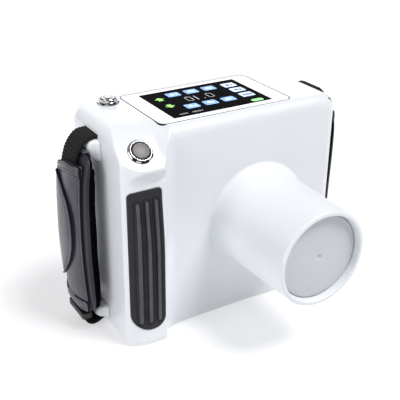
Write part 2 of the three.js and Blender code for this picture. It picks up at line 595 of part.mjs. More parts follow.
for (const [side, label] of [[-1, 'left'], [1, 'right']]) {
  const lugY = [STRAP_Y - LUG_HALF_Y, STRAP_Y + LUG_HALF_Y];
  addPart(`strap_lug_${label}_top`, sweptPiece(side, UPPER_LUG, ...lugY), whitePlastic());
  addPart(`strap_lug_${label}_bottom`, sweptPiece(side, LOWER_LUG, ...lugY), whitePlastic());
  for (const [place, z] of [['top', UPPER_SLOT_Z], ['bottom', LOWER_SLOT_Z]]) {
    const pin = cylinderY(1.2, STRAP_Y - 12, STRAP_Y + 12, side * 76.6, z, 12);
    addPart(`strap_pin_${label}_${place}`, pin, satinSteel());
  }
  addPart(`strap_webbing_${label}`, makeWebbing(side), blackWebbing());
  addPart(`strap_slider_${label}`, makeSlider(side), darkPlastic());
  addPart(`strap_tab_${label}`, sweptPiece(side, TAB, STRAP_FRONT_Y + 5, STRAP_FRONT_Y + 14), leather());
  addPart(`strap_pad_${label}`, strapLayer(
    side, padInnerX, padOuterX, PAD_BOTTOM_Z, PAD_TOP_Z, () => STRAP_FRONT_Y - PAD_OVERHANG), foamFabric());
  addPart(`strap_cover_${label}`, strapLayer(
    side, coverInnerX, coverOuterX, COVER_BOTTOM_Z, COVER_TOP_Z), leather());
  addPart(`strap_flap_${label}`, strapLayer(
    side, flapInnerX, flapOuterX, FLAP.bottom, FLAP.top, flapFrontY), leather());
}

export default unit;
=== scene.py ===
"""Looks of a handheld intraoral x-ray unit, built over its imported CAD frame.

Sizes in this file are millimetres in the unit's own frame (+Z up, the beam leaves toward -Y) unless a
name says metres. Every mesh is scaled to metres when its object is made.
"""

import math

import bmesh
import bpy
import numpy as np
import openvdb as vdb
from mathutils import Matrix, Vector


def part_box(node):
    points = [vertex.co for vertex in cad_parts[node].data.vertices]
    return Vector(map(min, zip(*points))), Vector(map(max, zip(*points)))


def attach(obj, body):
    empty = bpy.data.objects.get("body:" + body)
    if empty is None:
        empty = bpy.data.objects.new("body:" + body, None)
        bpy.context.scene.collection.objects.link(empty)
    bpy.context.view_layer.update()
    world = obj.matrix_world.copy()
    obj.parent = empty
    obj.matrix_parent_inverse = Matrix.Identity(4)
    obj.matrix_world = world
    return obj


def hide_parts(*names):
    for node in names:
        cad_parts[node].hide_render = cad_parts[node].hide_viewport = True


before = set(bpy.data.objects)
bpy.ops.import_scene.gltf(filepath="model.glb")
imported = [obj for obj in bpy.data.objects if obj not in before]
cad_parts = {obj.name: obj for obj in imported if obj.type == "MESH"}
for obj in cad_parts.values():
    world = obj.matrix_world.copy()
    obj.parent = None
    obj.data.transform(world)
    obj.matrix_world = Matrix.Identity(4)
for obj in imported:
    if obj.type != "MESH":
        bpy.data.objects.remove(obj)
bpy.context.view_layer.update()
MM = 0.001


def node_box(node):
    """Lowest and highest corner of a CAD node, in millimetres."""
    low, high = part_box(node)
    return np.array(low) / MM, np.array(high) / MM


# ---- sizes read from the frame ----
HOUSING_LOW, HOUSING_HIGH = node_box("housing")
HALF_WIDTH = HOUSING_HIGH[0]
TOP_Z = HOUSING_HIGH[2]
GRIP_Y = HOUSING_LOW[1]
SEAM_Y = HOUSING_HIGH[1]
BACK_Y = node_box("rear_cover")[1][1]
CONE_LOW, CONE_HIGH = node_box("beam_cone")
CONE_X = (CONE_LOW[0] + CONE_HIGH[0]) / 2
CONE_Z = (CONE_LOW[2] + CONE_HIGH[2]) / 2
CONE_TIP_Y = CONE_LOW[1]
FIT = 0.3
FACE_Y = CONE_HIGH[1] + FIT
WINDOW_LOW, WINDOW_HIGH = node_box("display_window")
LCD_LOW, LCD_HIGH = node_box("lcd_module")
PAD_LOW, PAD_HIGH = node_box("grip_pad")

# ---- shape of the body, the same as the frame's ----
SIDE_EDGE_R = 11.0
TOP_EDGE_R = 8.0
FRONT_TOP_R = 7.5
BOTTOM_EDGE_R = 4.0
FRONT_RIGHT_R = 8.0
BACK_LEFT_R = 18.0
BACK_RIGHT_R = 28.0
GRIP_LEFT_CREASE_Y = -8.5
GRIP_CORNER_X = -56.5
FLANK_END_X = -42.0
SLOPE_START_Y = 7.8
SLOPE = math.radians(40.5)
SLOPE_SWEEP = 13.0  # how far the slope's start moves forward until it leaves the top's front edge
RECESS_Y = -11.0
RECESS_LOW_Z, RECESS_HIGH_Z = 62.0, 114.0
FOLD_Z = 115.2  # the small fold at the top of the finger recess
BROW_FOOT_Z, BROW_ONLY_Z = 118.6, 123.4


def round_max(a, b, radius):
    """Intersection of two distances with a round edge."""
    corner = np.hypot(np.maximum(a + radius, 0), np.maximum(b + radius, 0))
    return np.minimum(np.maximum(a, b), -radius) + corner


def soft_max(a, b, width):
    h = np.clip(0.5 + 0.5 * (a - b) / width, 0, 1)
    return b + (a - b) * h + width * h * (1 - h)


def soft_min(a, b, width):
    return -soft_max(-a, -b, width)


def smooth_step(low, high, value):
    t = np.clip((value - low) / (high - low), 0, 1)
    return t * t * (3 - 2 * t)


def plan_front(x):
    """Y of the body's front in plan: the grip's bulge, its concave flank, then the main face."""
    reach = 16.0
    u = np.clip((x + HALF_WIDTH) / reach, 0, 1)
    grip = GRIP_LEFT_CREASE_Y + (GRIP_Y - GRIP_LEFT_CREASE_Y) * (1 - (1 - u) ** 2)
    run = np.clip(x, GRIP_CORNER_X - 6, FLANK_END_X) - GRIP_CORNER_X
    t = (-11 + np.sqrt(np.maximum(121 + 14 * run, 1e-6))) / 7
    flank = FACE_Y + (GRIP_Y - FACE_Y) * (1 - t) ** 2
    return soft_max(grip, flank, 1.6)


def grip_front(x, z):
    """Y of the grip's front seen from the side: palm, finger recess, brow and sloping button face."""
    recess = GRIP_Y + (RECESS_Y - GRIP_Y) * smooth_step(RECESS_LOW_Z, RECESS_HIGH_Z, z)
    fold = 0.7 * np.exp(-(((z - FOLD_Z - 0.06 * (x + 60)) / 1.0) ** 2)) * smooth_step(-74, -60, x)
    start = SLOPE_START_Y - SLOPE_SWEEP * smooth_step(-57, -42, x)
    slope = start - (TOP_Z - z) / math.tan(SLOPE)
    underside = RECESS_Y - 0.95 * (z - BROW_FOOT_Z)
    brow = soft_max(slope, underside, 2.2)
    below = soft_min(recess + fold, brow, 2.4)
    return np.where(z < BROW_ONLY_Z, below, brow)


def front_y(x, z):
    return soft_max(plan_front(x), grip_front(x, z), 1.2)


def body_distance(x, y, z):
    """Signed distance to the body's outer surface, in millimetres, negative inside."""
    step = 0.25
    front = front_y(x, z)
    slope_x = (front_y(x + step, z) - front_y(x - step, z)) / (2 * step)
    slope_z = (front_y(x, z + step) - front_y(x, z - step)) / (2 * step)
    d_front = (front - y) / np.sqrt(1 + slope_x ** 2 + slope_z ** 2)
    d_left = -HALF_WIDTH - x
    d_right = x - HALF_WIDTH
    d_back = y - BACK_Y
    plan = round_max(d_front, d_left, 1.8)
    plan = round_max(plan, d_right, FRONT_RIGHT_R)
    back_r = np.where(x < 0, BACK_LEFT_R, BACK_RIGHT_R)
    sides = round_max(np.where(x < 0, d_left, d_right), d_back, back_r)
    plan = np.maximum(plan, sides)
    near_side = smooth_step(64, 80, np.abs(x))
    top_r = TOP_EDGE_R + (SIDE_EDGE_R - TOP_EDGE_R) * near_side
    top_r = np.where(y < 20, np.minimum(top_r, FRONT_TOP_R + 3.5 * near_side), top_r)
    shape = round_max(plan, z - TOP_Z, top_r)
    return round_max(shape, -z, BOTTOM_EDGE_R)


# ---- mesh helpers ----
def new_object(name, data):
    """Puts a new object in the scene, from a mesh, a light or a camera."""
    made = bpy.data.objects.new(name, data)
    bpy.context.scene.collection.objects.link(made)
    return made


def object_from(name, points, faces, sharp_degrees=None):
    """A smooth-shaded object from points in millimetres."""
    mesh = bpy.data.meshes.new(name)
    mesh.from_pydata((np.asarray(points, float) * MM).tolist(), [], [list(map(int, f)) for f in faces])
    mesh.validate()
    finish_shading(mesh, sharp_degrees)
    return new_object(name, mesh)


def finish_shading(mesh, sharp_degrees=None):
    mesh.polygons.foreach_set("use_smooth", [True] * len(mesh.polygons))
    if sharp_degrees is not None:
        mesh.set_sharp_from_angle(angle=math.radians(sharp_degrees))
    mesh.update()


def skin_of(distance, low, high, voxel):
    """Points and quads on the zero level of a distance function, pulled onto it exactly."""
    low = np.array(low, float)
    counts = np.ceil((np.array(high, float) - low) / voxel).astype(int) + 1
    x, y, z = (low[i] + voxel * np.arange(counts[i]) for i in range(3))
    field = distance(x[:, None, None], y[None, :, None], z[None, None, :])
    field = np.clip(np.broadcast_to(field, counts), -3 * voxel, 3 * voxel).astype(np.float32)
    grid = vdb.FloatGrid(background=float(3 * voxel))
    grid.copyFromArray(np.ascontiguousarray(field))
    points, quads = grid.convertToQuads(0.0)
    points = low + voxel * points.astype(float)
    probe = 0.04
    for _ in range(3):
        px, py, pz = points.T
        here = distance(px, py, pz)
        slope = np.stack([
            distance(px + probe, py, pz) - here,
            distance(px, py + probe, pz) - here,
            distance(px, py, pz + probe) - here], axis=1) / probe
        length = np.maximum((slope ** 2).sum(axis=1), 0.2)
        move = here[:, None] * slope / length[:, None]
        points = points - np.clip(move, -voxel, voxel)
    return points, quads[:, ::-1]


def apply_boolean(target, cutter, operation="DIFFERENCE"):
    """Cuts target by cutter with Blender's manifold solver and drops the cutter."""
    step = target.modifiers.new("cut", "BOOLEAN")
    step.operation = operation
    step.solver = "MANIFOLD"
    step.object = cutter
    bake_modifiers(target)
    mesh = cutter.data
    bpy.data.objects.remove(cutter)
    bpy.data.meshes.remove(mesh)


def bake_modifiers(target):
    depsgraph = bpy.context.evaluated_depsgraph_get()
    mesh = bpy.data.meshes.new_from_object(target.evaluated_get(depsgraph))
    old = target.data
    target.modifiers.clear()
    target.data = mesh
    mesh.name = target.name
    bpy.data.meshes.remove(old)


def prism(name, outline, low, high, axis="Z"):
    """A closed prism from an outline. axis is the way it is swept; the outline holds the other two axes."""
    outline = np.asarray(outline, float)
    area = np.sum(outline[:, 0] * np.roll(outline[:, 1], -1) - outline[:, 1] * np.roll(outline[:, 0], -1))
    if area < 0:
        outline = outline[::-1]
    count = len(outline)
    points = []
    for level in (low, high):
        for a, b in outline:
            points.append({"Z": (a, b, level), "Y": (a, level, b), "X": (level, a, b)}[axis])
    faces = [list(range(count))[::-1], list(range(count, 2 * count))]
    faces += [[i, (i + 1) % count, count + (i + 1) % count, count + i] for i in range(count)]
    if axis == "Y":
        faces = [f[::-1] for f in faces]
    return object_from(name, points, faces, 30)


def rounded_outline(x0, x1, y0, y1, radii, steps=10):
    """Counter-clockwise rounded rectangle; radii run from the low corner round."""
    radii = [radii] * 4 if np.isscalar(radii) else radii
    corners = [
        (x0 + radii[0], y0 + radii[0], radii[0], 180), (x1 - radii[1], y0 + radii[1], radii[1], 270),
        (x1 - radii[2], y1 - radii[2], radii[2], 0), (x0 + radii[3], y1 - radii[3], radii[3], 90)]
    points = []
    for cx, cy, radius, start in corners:
        for i in range(steps + 1):
            angle = math.radians(start + 90 * i / steps)
            points.append((cx + radius * math.cos(angle), cy + radius * math.sin(angle)))
    return points


def block(name, low, high):
    return prism(name, [(low[0], low[1]), (high[0], low[1]), (high[0], high[1]), (low[0], high[1])],
                 low[2], high[2])


def lathe(name, profile, place, segments=128, sharp_degrees=35):
    """Turns [radius, height] points about the matrix's Z axis. The profile ends on the axis or closes."""
    closed = np.allclose(profile[0], profile[-1])
    rows = profile[:-1] if closed else profile
    points, rings = [], []
    for radius, height in rows:
        if radius < 1e-6:
            rings.append([len(points)] * segments)
            points.append((0, 0, height))
            continue
        rings.append(list(range(len(points), len(points) + segments)))
        for i in range(segments):
            angle = 2 * math.pi * i / segments
            points.append((radius * math.cos(angle), radius * math.sin(angle), height))
    faces = []
    pairs = list(zip(rings, rings[1:] + rings[:1])) if closed else list(zip(rings, rings[1:]))
    for ring, after in pairs:
        for i in range(segments):
            j = (i + 1) % segments
            face = [ring[i], ring[j], after[j], after[i]]
            kept = [v for k, v in enumerate(face) if v not in face[:k]]
            if len(kept) > 2:
                faces.append(kept)
    turned = [tuple(place @ Vector(p)) for p in points]
    made = object_from(name, turned, faces, sharp_degrees)
    turn_outward(made)
    return made


def turn_outward(made):
    shape = bmesh.new()
    shape.from_mesh(made.data)
    bmesh.ops.recalc_face_normals(shape, faces=shape.faces)
    if shape.calc_volume(signed=True) < 0:
        bmesh.ops.reverse_faces(shape, faces=shape.faces)
    shape.to_mesh(made.data)
    shape.free()
    made.data.update()


def soften_profile(profile, radius, steps=4):
    """Rounds each inner corner of an open profile so that its edges catch the light."""
    points = [np.array(p, float) for p in profile]
    out = [points[0]]
    for before, corner, after in zip(points, points[1:], points[2:]):
        to_before, to_after = before - corner, after - corner
        size_before, size_after = np.linalg.norm(to_before), np.linalg.norm(to_after)
        cut = min(radius, 0.45 * size_before, 0.45 * size_after)
        start = corner + to_before / size_before * cut
        end = corner + to_after / size_after * cut
        for i in range(steps + 1):
            t = i / steps
            out.append((1 - t) ** 2 * start + 2 * t * (1 - t) * corner + t * t * end)
    out.append(points[-1])
    return [tuple(p) for p in out]


# ---- body: housing and rear cover ----
BODY_VOXEL = 0.8
SEAM_GAP = 0.3


def button_place(x, y, z, tilt):
    """Matrix whose +Z is the button's outward axis, tilted toward -Y."""
    return Matrix.Translation((x, y, z)) @ Matrix.Rotation(tilt, 4, "X")


EXPOSE_X, EXPOSE_Y = -67.6, -4.4
EXPOSE_Z = TOP_Z - (SLOPE_START_Y - EXPOSE_Y) * math.tan(SLOPE)
POWER_X, POWER_Y = -59.3, 56.3
EXPOSE_PLACE = button_place(EXPOSE_X, EXPOSE_Y, EXPOSE_Z, SLOPE)
POWER_PLACE = button_place(POWER_X, POWER_Y, TOP_Z, 0.0)
EXPOSE_RING_R, EXPOSE_CAP_R = 8.0, 5.2
POWER_RING_R, POWER_CAP_R = 7.2, 4.6
SLOT_HALF_Y, SLOT_HALF_Z = 10.1, 1.3
UPPER_SLOT_Z, LOWER_SLOT_Z = 134.5, 4.5
STRAP_Y = 33.8
SIDE_NAMES = {-1: "left", 1: "right"}


def body_skin():
    points, quads = skin_of(
        body_distance, (-HALF_WIDTH - 3, GRIP_Y - 3, -3), (HALF_WIDTH + 3, BACK_Y + 3, TOP_Z + 3), BODY_VOXEL)
    made = object_from("body_skin", points, quads)
    turn_outward(made)
    return made


def facing_back(x, z):
    """Matrix whose +Z points out of the unit's back."""
    return Matrix.Translation((x, 0, z)) @ Matrix.Rotation(-math.pi / 2, 4, "X")


def copy_of(source, name):
    mesh = source.data.copy()
    mesh.name = name
    return new_object(name, mesh)


def make_housing(skin):
    housing = copy_of(skin, "housing")
    apply_boolean(housing, block("behind", (-100, SEAM_Y, -9), (100, 99, 160)))
    wall = 3.0
    for name, low, high in (
            ("inside", (-46, FACE_Y + wall, wall), (HALF_WIDTH - wall, 99, TOP_Z - wall)),
            ("inside_low", (-HALF_WIDTH + wall, FACE_Y + wall, wall), (-45, 99, 118)),
            ("inside_high", (-HALF_WIDTH + wall + 2, 12, 110), (-45, 99, TOP_Z - wall - 2))):
        apply_boolean(housing, block(name, low, high))
    gap = 0.35
    pocket = rounded_outline(
        WINDOW_LOW[0] - gap, WINDOW_HIGH[0] + gap, WINDOW_LOW[1] - gap, WINDOW_HIGH[1] + gap, 5 + gap, 16)
    apply_boolean(housing, prism("pocket", pocket, WINDOW_LOW[2] - FIT, TOP_Z + 5))
    opening = block("opening", (LCD_LOW[0] - FIT, LCD_LOW[1] - FIT, 120),
                    (LCD_HIGH[0] + FIT, LCD_HIGH[1] + FIT, TOP_Z + 5))
    apply_boolean(housing, opening)
    for place, ring in ((EXPOSE_PLACE, EXPOSE_RING_R), (POWER_PLACE, POWER_RING_R)):
        bore = lathe("bore", [(0, -24), (ring - 1.5, -24), (ring - 1.5, 6), (0, 6)], place, 96)
        apply_boolean(housing, bore)
    port_place = Matrix.Translation((CONE_X, FACE_Y, CONE_Z)) @ Matrix.Rotation(math.pi / 2, 4, "X")
    apply_boolean(housing, lathe("port", [(0, -12), (30, -12), (30, 12), (0, 12)], port_place, 128))
    for side in (-1, 1):
        for height in (UPPER_SLOT_Z, LOWER_SLOT_Z):
            x0, x1 = sorted((side * 70, side * (HALF_WIDTH + 4)))
            apply_boolean(housing, block(
                "slot", (x0, STRAP_Y - SLOT_HALF_Y, height - SLOT_HALF_Z),
                (x1, STRAP_Y + SLOT_HALF_Y, height + SLOT_HALF_Z)))
    finish_shading(housing.data, 32)
    return housing


SCREW_SPOTS = [(-56, 16), (56, 16), (-56, 122), (56, 122)]
SCREW_SEAT_Y = SEAM_Y + 4


def make_rear_cover(skin):
    cover = copy_of(skin, "rear_cover")
    apply_boolean(cover, block("ahead", (-100, -99, -9), (100, SEAM_Y + SEAM_GAP, 160)))
    apply_boolean(cover, block("inside", (-62, SEAM_Y - 5, 9), (62, BACK_Y - 3, TOP_Z - 9)))
    for x, z in SCREW_SPOTS:
        well = [(0, SCREW_SEAT_Y), (3.2, SCREW_SEAT_Y), (3.2, BACK_Y + 5), (0, BACK_Y + 5)]
        apply_boolean(cover, lathe("well", well, facing_back(x, z), 64))
    socket_low, socket_high = node_box("charging_socket")
    x, z = (socket_low[0] + socket_high[0]) / 2, (socket_low[2] + socket_high[2]) / 2
    radius = (socket_high[0] - socket_low[0]) / 2 + FIT
    hole = [(0, SEAM_Y - 9), (radius, SEAM_Y - 9), (radius, BACK_Y + 5), (0, BACK_Y + 5)]
    apply_boolean(cover, lathe("socket_hole", hole, facing_back(x, z), 64))
    finish_shading(cover.data, 32)
    return cover


# ---- beam cone ----
BEAM_AXIS = Matrix.Translation((CONE_X, 0, CONE_Z)) @ Matrix.Rotation(math.pi / 2, 4, "X")
CONE_FLANGE_R, CONE_NECK_R, CONE_TIP_R, CONE_BORE_R = 37.7, 33.6, 31.9, 28.2


def make_cone():
    """Heights along the beam are minus Y."""
    base, tip = -FACE_Y, -CONE_TIP_Y
    profile = [(CONE_BORE_R, base), (CONE_FLANGE_R, base)]
    steps = 28
    for i in range(steps + 1):
        t = i / steps * math.pi / 2
        profile.append((CONE_NECK_R + (CONE_FLANGE_R - CONE_NECK_R) * (1 - math.sin(t)) ** 1.25,
                        base + 0.12 + 14.2 * (1 - math.cos(t)) ** 0.9))
    for i in range(1, 10):
        t = i / 10
        height = (1 - t) * (base + 14.3) + t * (tip - 1.6)
        profile.append((CONE_NECK_R + (CONE_TIP_R - CONE_NECK_R) * t, height))
    lip = 1.5
    for i in range(9):
        angle = math.pi / 2 * i / 8
        profile.append((CONE_TIP_R - lip + lip * math.cos(angle), tip - lip + lip * math.sin(angle)))
    inner = CONE_BORE_R + 0.6
    for i in range(7):
        angle = math.pi / 2 * (1 + i / 6)
        profile.append((inner + 0.6 + 0.6 * math.cos(angle), tip - 0.6 + 0.6 * math.sin(angle)))
    profile += [(CONE_BORE_R, tip - 4), (CONE_BORE_R, base)]
    return lathe("beam_cone", profile, BEAM_AXIS, 192, 30)


def make_aperture_disc():
    low, high = node_box("aperture_disc")
    front, back = -low[1], -high[1]
    radius = CONE_BORE_R - FIT
    profile = [(0, front - 1.1)]
    for i in range(1, 11):
        t = i / 10
        profile.append((2.6 * t, front - 1.1 * (0.5 + 0.5 * math.cos(math.pi * t))))
    profile += [(radius - 1.2, front), (radius - 0.5, front - 0.15), (radius, front - 0.7), (radius, back),
                (0, back)]
    return lathe("aperture_disc", profile, BEAM_AXIS, 160, 40)


# ---- buttons ----
def low_crown(ring_r, cap_r):
    """Domed ring that slopes down to its cap."""
    return [(ring_r - 0.1, FIT), (ring_r, 0.75), (ring_r - 0.45, 1.3), (ring_r - 1.3, 1.62),
            (cap_r + 1.35, 1.9), (cap_r + 0.75, 1.75), (cap_r + 0.45, 1.2), (cap_r + FIT, 0.2)]


def stepped_crown(ring_r, cap_r):
    """Flat flange with a raised collar round the cap."""
    return [(ring_r - 0.1, FIT), (ring_r, 0.7), (ring_r - 0.3, 1.05), (cap_r + 1.5, 1.35), (cap_r + 1.2, 1.6),
            (cap_r + 1.1, 2.9), (cap_r + 0.8, 3.2), (cap_r + 0.45, 3.0), (cap_r + FIT, 2.2)]


def make_ring(name, ring_r, cap_r, crown, place):
    """Chrome ring; its groove is black, and dark reflections are painted as patches on its lower outer edge.
    """
    profile = [(cap_r + FIT, -9), (ring_r - 1.8, -9), (ring_r - 1.8, FIT), (ring_r - 0.1, FIT)]
    profile += soften_profile(crown, 0.3)[1:]
    profile += [(cap_r + FIT, -9)]
    made = lathe(name, profile, place, 128, 50)
    dress(made, CHROME, GAP_BLACK, PAINTED_SHADE_AND_REFLECTION)
    inverse = place.inverted()
    for face in made.data.polygons:
        spot = inverse @ (face.center / MM)
        radius = math.hypot(spot.x, spot.y)
        turn = math.degrees(math.atan2(-spot.y, spot.x))
        # Painted reflection: dark chrome patches on the lower side stand in for the dark surroundings the
        # ring reflects.
        in_painted_reflection = 28 < turn < 152 and abs((turn - 90) % 62 - 31) > 11
        if radius < cap_r + 0.6 and spot.z < crown[-2][1]:
            face.material_index = 1
        elif in_painted_reflection and (radius > ring_r - 1.1 or crown[-1][1] < spot.z < crown[-2][1] - 0.2):
            face.material_index = 2
    return made


def make_cap(name, cap_r, crown, place):
    profile = [(0, -7), (cap_r - 0.8, -7), (cap_r - 0.8, -5), (cap_r, -5)]
    edge = 0.7
    profile.append((cap_r, crown - edge))
    for i in range(1, 8):
        angle = math.pi / 2 * i / 7
        profile.append((cap_r - edge + edge * math.cos(angle), crown - edge + edge * math.sin(angle)))
    rise = 0.55
    for i in range(1, 9):
        t = i / 8
        radius = (cap_r - edge) * (1 - t)
        profile.append((radius, crown + rise * (1 - (radius / (cap_r - edge)) ** 2)))
    return lathe(name, profile, place, 128, 40)


def paint_groove_shade(cap, place, inner, outer):
    """Paints the shade of a groove: the annulus between two radii of a cap's top gets its second, darker
    material.
    """
    inverse = place.inverted()
    for face in cap.data.polygons:
        spot = inverse @ (face.center / MM)
        face.material_index = int(inner < math.hypot(spot.x, spot.y) < outer and face.normal.z > 0.5)


# ---- grip pad ----
GRIP_RIBS, RIB_HALF_WIDTH = (-74.6, -68.4, -62.2), 1.3
GRIP_PAD_RISE, GRIP_PAD_DEPTH, GRIP_RIB_RISE = 0.6, 1.2, 1.7


def outline_distance(x, z, low, high, radii):
    """Signed distance to a rounded rectangle; radii are low-left, low-right, high-right, high-left."""
    cx, cz = (low[0] + high[0]) / 2, (low[1] + high[1]) / 2
    px, pz = x - cx, z - cz
    radius = np.where(pz < 0, np.where(px < 0, radii[0], radii[1]), np.where(px < 0, radii[3], radii[2]))
    qx = np.abs(px) - (high[0] - low[0]) / 2 + radius
    qz = np.abs(pz) - (high[1] - low[1]) / 2 + radius
    return np.minimum(np.maximum(qx, qz), 0) + np.hypot(np.maximum(qx, 0), np.maximum(qz, 0)) - radius


def rib_distance(x, z, rib_x):
    low, high = (rib_x - RIB_HALF_WIDTH, PAD_LOW[2] + 6), (rib_x + RIB_HALF_WIDTH, PAD_HIGH[2] - 7)
    return outline_distance(x, z, low, high, (RIB_HALF_WIDTH,) * 4)


def grip_pad_distance(x, y, z):
    low, high = (PAD_LOW[0], PAD_LOW[2]), (PAD_HIGH[0], PAD_HIGH[2])
    outline = outline_distance(x, z, low, high, (13, 8, 3, 3))
    rise = GRIP_PAD_RISE
    for rib_x in GRIP_RIBS:
        rib = rib_distance(x, z, rib_x)
        hump = np.clip(-(rib - 0.1) / 0.8, 0, 1)
        groove = np.exp(-(((rib - 0.75) / 0.6) ** 2))
        rise = rise + (GRIP_RIB_RISE - GRIP_PAD_RISE) * np.sqrt(1 - (1 - hump) ** 2) - 0.6 * groove
    front = front_y(x, z)
    outer = front - rise - y
    inner = y - front - GRIP_PAD_DEPTH
    edge = round_max(outline, outer, 0.8)
    return np.maximum(edge, inner)


def make_grip_pad():
    voxel = 0.34
    points, quads = skin_of(
        grip_pad_distance, (PAD_LOW[0] - 1, PAD_LOW[1] - 2, PAD_LOW[2] - 1),
        (PAD_HIGH[0] + 1, PAD_HIGH[1] + 2, PAD_HIGH[2] + 1), voxel)
    made = object_from("grip_pad", points, quads, 50)
    turn_outward(made)
    dress(made, RUBBER, RIB_TOP_HIGHLIGHT)
    for face in made.data.polygons:
        x, _, z = face.center / MM
        on_rib = min(float(rib_distance(x, z, rib_x)) for rib_x in GRIP_RIBS) < -0.25
        # Painted highlight: the forward-facing tops of the ribs take a lighter rubber.
        face.material_index = int(on_rib and face.normal.y < -0.3)
    return made


def cut_grip_seat(housing):
    """Sinks the pad's seat into the housing, a hair wider than the pad."""
    seat = copy_of(grip_pad, "seat")
    for vertex in seat.data.vertices:
        vertex.co -= Vector((0, 0.4 * MM, 0))
    apply_boolean(housing, seat)


# ---- materials ----
def linear(value):
    return value / 12.92 if value <= 0.04045 else ((value + 0.055) / 1.055) ** 2.4


def srgb(red, green, blue):
    return (*(linear(c / 255) for c in (red, green, blue)), 1.0)


class Nodes:
    """A small builder for one node material."""

    def __init__(self, name):
        self.material = bpy.data.materials.new(name)
        self.material.use_nodes = True
        self.tree = self.material.node_tree
        self.shader = self.tree.nodes["Principled BSDF"]
        self.coords = self.tree.nodes.new("ShaderNodeTexCoord")

    def add(self, kind, **settings):
        node = self.tree.nodes.new(kind)
        for key, value in settings.items():
            if hasattr(node, key) and key not in node.inputs:
                setattr(node, key, value)
            else:
                node.inputs[key].default_value = value
        return node

    def link(self, source, target):
        self.tree.links.new(source, target)

    def scaled(self, scale):
        """Object coordinates times a scale, in metres."""
        mapping = self.add("ShaderNodeMapping")
        mapping.inputs["Scale"].default_value = scale if hasattr(scale, "__len__") else (scale,) * 3
        self.link(self.coords.outputs["Object"], mapping.inputs["Vector"])
        return mapping.outputs["Vector"]

    def noise(self, scale, detail=3.0, roughness=0.55, stretch=(1, 1, 1)):
        node = self.add("ShaderNodeTexNoise", Scale=1.0, Detail=detail, Roughness=roughness)
        self.link(self.scaled(tuple(scale * s for s in stretch)), node.inputs["Vector"])
        return node.outputs["Fac"]

    def ramp(self, value, stops):
        node = self.add("ShaderNodeValToRGB")
        elements = node.color_ramp.elements
        for position, _ in stops[2:]:
            elements.new(position)
        for element, (position, color) in zip(elements, sorted(stops, key=lambda s: s[0])):
            element.position = position
            element.color = color
        self.link(value, node.inputs["Fac"])
        return node.outputs["Color"]

    def spread(self, value, low, high):
        node = self.add("ShaderNodeMapRange")
        node.inputs["To Min"].default_value = low
        node.inputs["To Max"].default_value = high
        self.link(value, node.inputs["Value"])
        return node.outputs["Result"]

    def math(self, operation, a, b=None, clamp=False):
        node = self.add("ShaderNodeMath", operation=operation, use_clamp=clamp)
        for socket, value in zip(node.inputs, (a, b)):
            if value is None:
                continue
            if isinstance(value, (int, float)):
                socket.default_value = value
            else:
                self.link(value, socket)
        return node.outputs["Value"]

    def bump(self, height, strength, distance, normal=None):
        node = self.add("ShaderNodeBump", Strength=strength, Distance=distance)
        self.link(height, node.inputs["Height"])
        if normal is not None:
            self.link(normal, node.inputs["Normal"])
        return node.outputs["Normal"]

    def finish(self, **sockets):
        for key, value in sockets.items():
            socket = self.shader.inputs[key.replace("_", " ")]
            if hasattr(value, "is_linked"):
                self.link(value, socket)
            else:
                socket.default_value = value
        return self.material


def plastic(name, color, shade, roughness, coat=0.0, grain=0.25, ior=1.5):
    """Moulded plastic: a faint drift of colour and gloss and a very fine moulded skin."""
    nodes = Nodes(name)
    cloudy = nodes.noise(14, 2)
    fine = nodes.noise(2600, 2)
    tint = nodes.ramp(cloudy, [(0.3, color), (0.75, shade)])
    rough = nodes.spread(cloudy, roughness * 0.92, roughness * 1.1)
    skin = nodes.bump(fine, grain, 0.00001)
    return nodes.finish(Base_Color=tint, Roughness=rough, Normal=skin, Coat_Weight=coat, Coat_Roughness=0.24,
                        IOR=ior)


def metal(name, color, shade, roughness, grain=0.15, stretch=(1, 1, 1), scale=500, metallic=1.0):
    nodes = Nodes(name)
    brushed = nodes.noise(scale, 3, 0.6, stretch)
    tint = nodes.ramp(brushed, [(0.3, color), (0.75, shade)])
    rough = nodes.spread(brushed, roughness * 0.75, roughness * 1.3)
    skin = nodes.bump(brushed, grain, 0.00003)
    return nodes.finish(Base_Color=tint, Metallic=metallic, Roughness=rough, Normal=skin)


def leather_material(name, color, shade, roughness=0.42, sheen=0.15, ior=1.5):
    """Pebbled synthetic leather with fine creases and a slight sheen."""
    nodes = Nodes(name)
    cells = nodes.add("ShaderNodeTexVoronoi", feature="F1", Scale=1.0)
    nodes.link(nodes.scaled(1300), cells.inputs["Vector"])
    pebble = nodes.math("SUBTRACT", 1.0, cells.outputs["Distance"])
    wrinkle = nodes.noise(260, 5, 0.6, (1, 1, 0.45))
    cloudy = nodes.noise(38, 3)
    mottled = nodes.math("ADD", nodes.math("MULTIPLY", cloudy, 0.7), nodes.math("MULTIPLY", wrinkle, 0.3))
    tint = nodes.ramp(mottled, [(0.35, color), (0.68, shade)])
    rough = nodes.spread(wrinkle, roughness * 0.8, roughness * 1.25)
    coarse = nodes.bump(wrinkle, 0.55, 0.0004)
    skin = nodes.bump(pebble, 0.35, 0.00012, coarse)
    return nodes.finish(Base_Color=tint, Roughness=rough, Normal=skin, Sheen_Weight=sheen,
                        Sheen_Roughness=0.4, IOR=ior)


def rubber_material(name, color, shade, ior=1.38):
    nodes = Nodes(name)
    dust = nodes.noise(120, 4)
    fine = nodes.noise(1600, 2)
    tint = nodes.ramp(dust, [(0.3, color), (0.75, shade)])
    rough = nodes.spread(dust, 0.5, 0.66)
    skin = nodes.bump(fine, 0.5, 0.00008)
    return nodes.finish(Base_Color=tint, Roughness=rough, Normal=skin, IOR=ior)


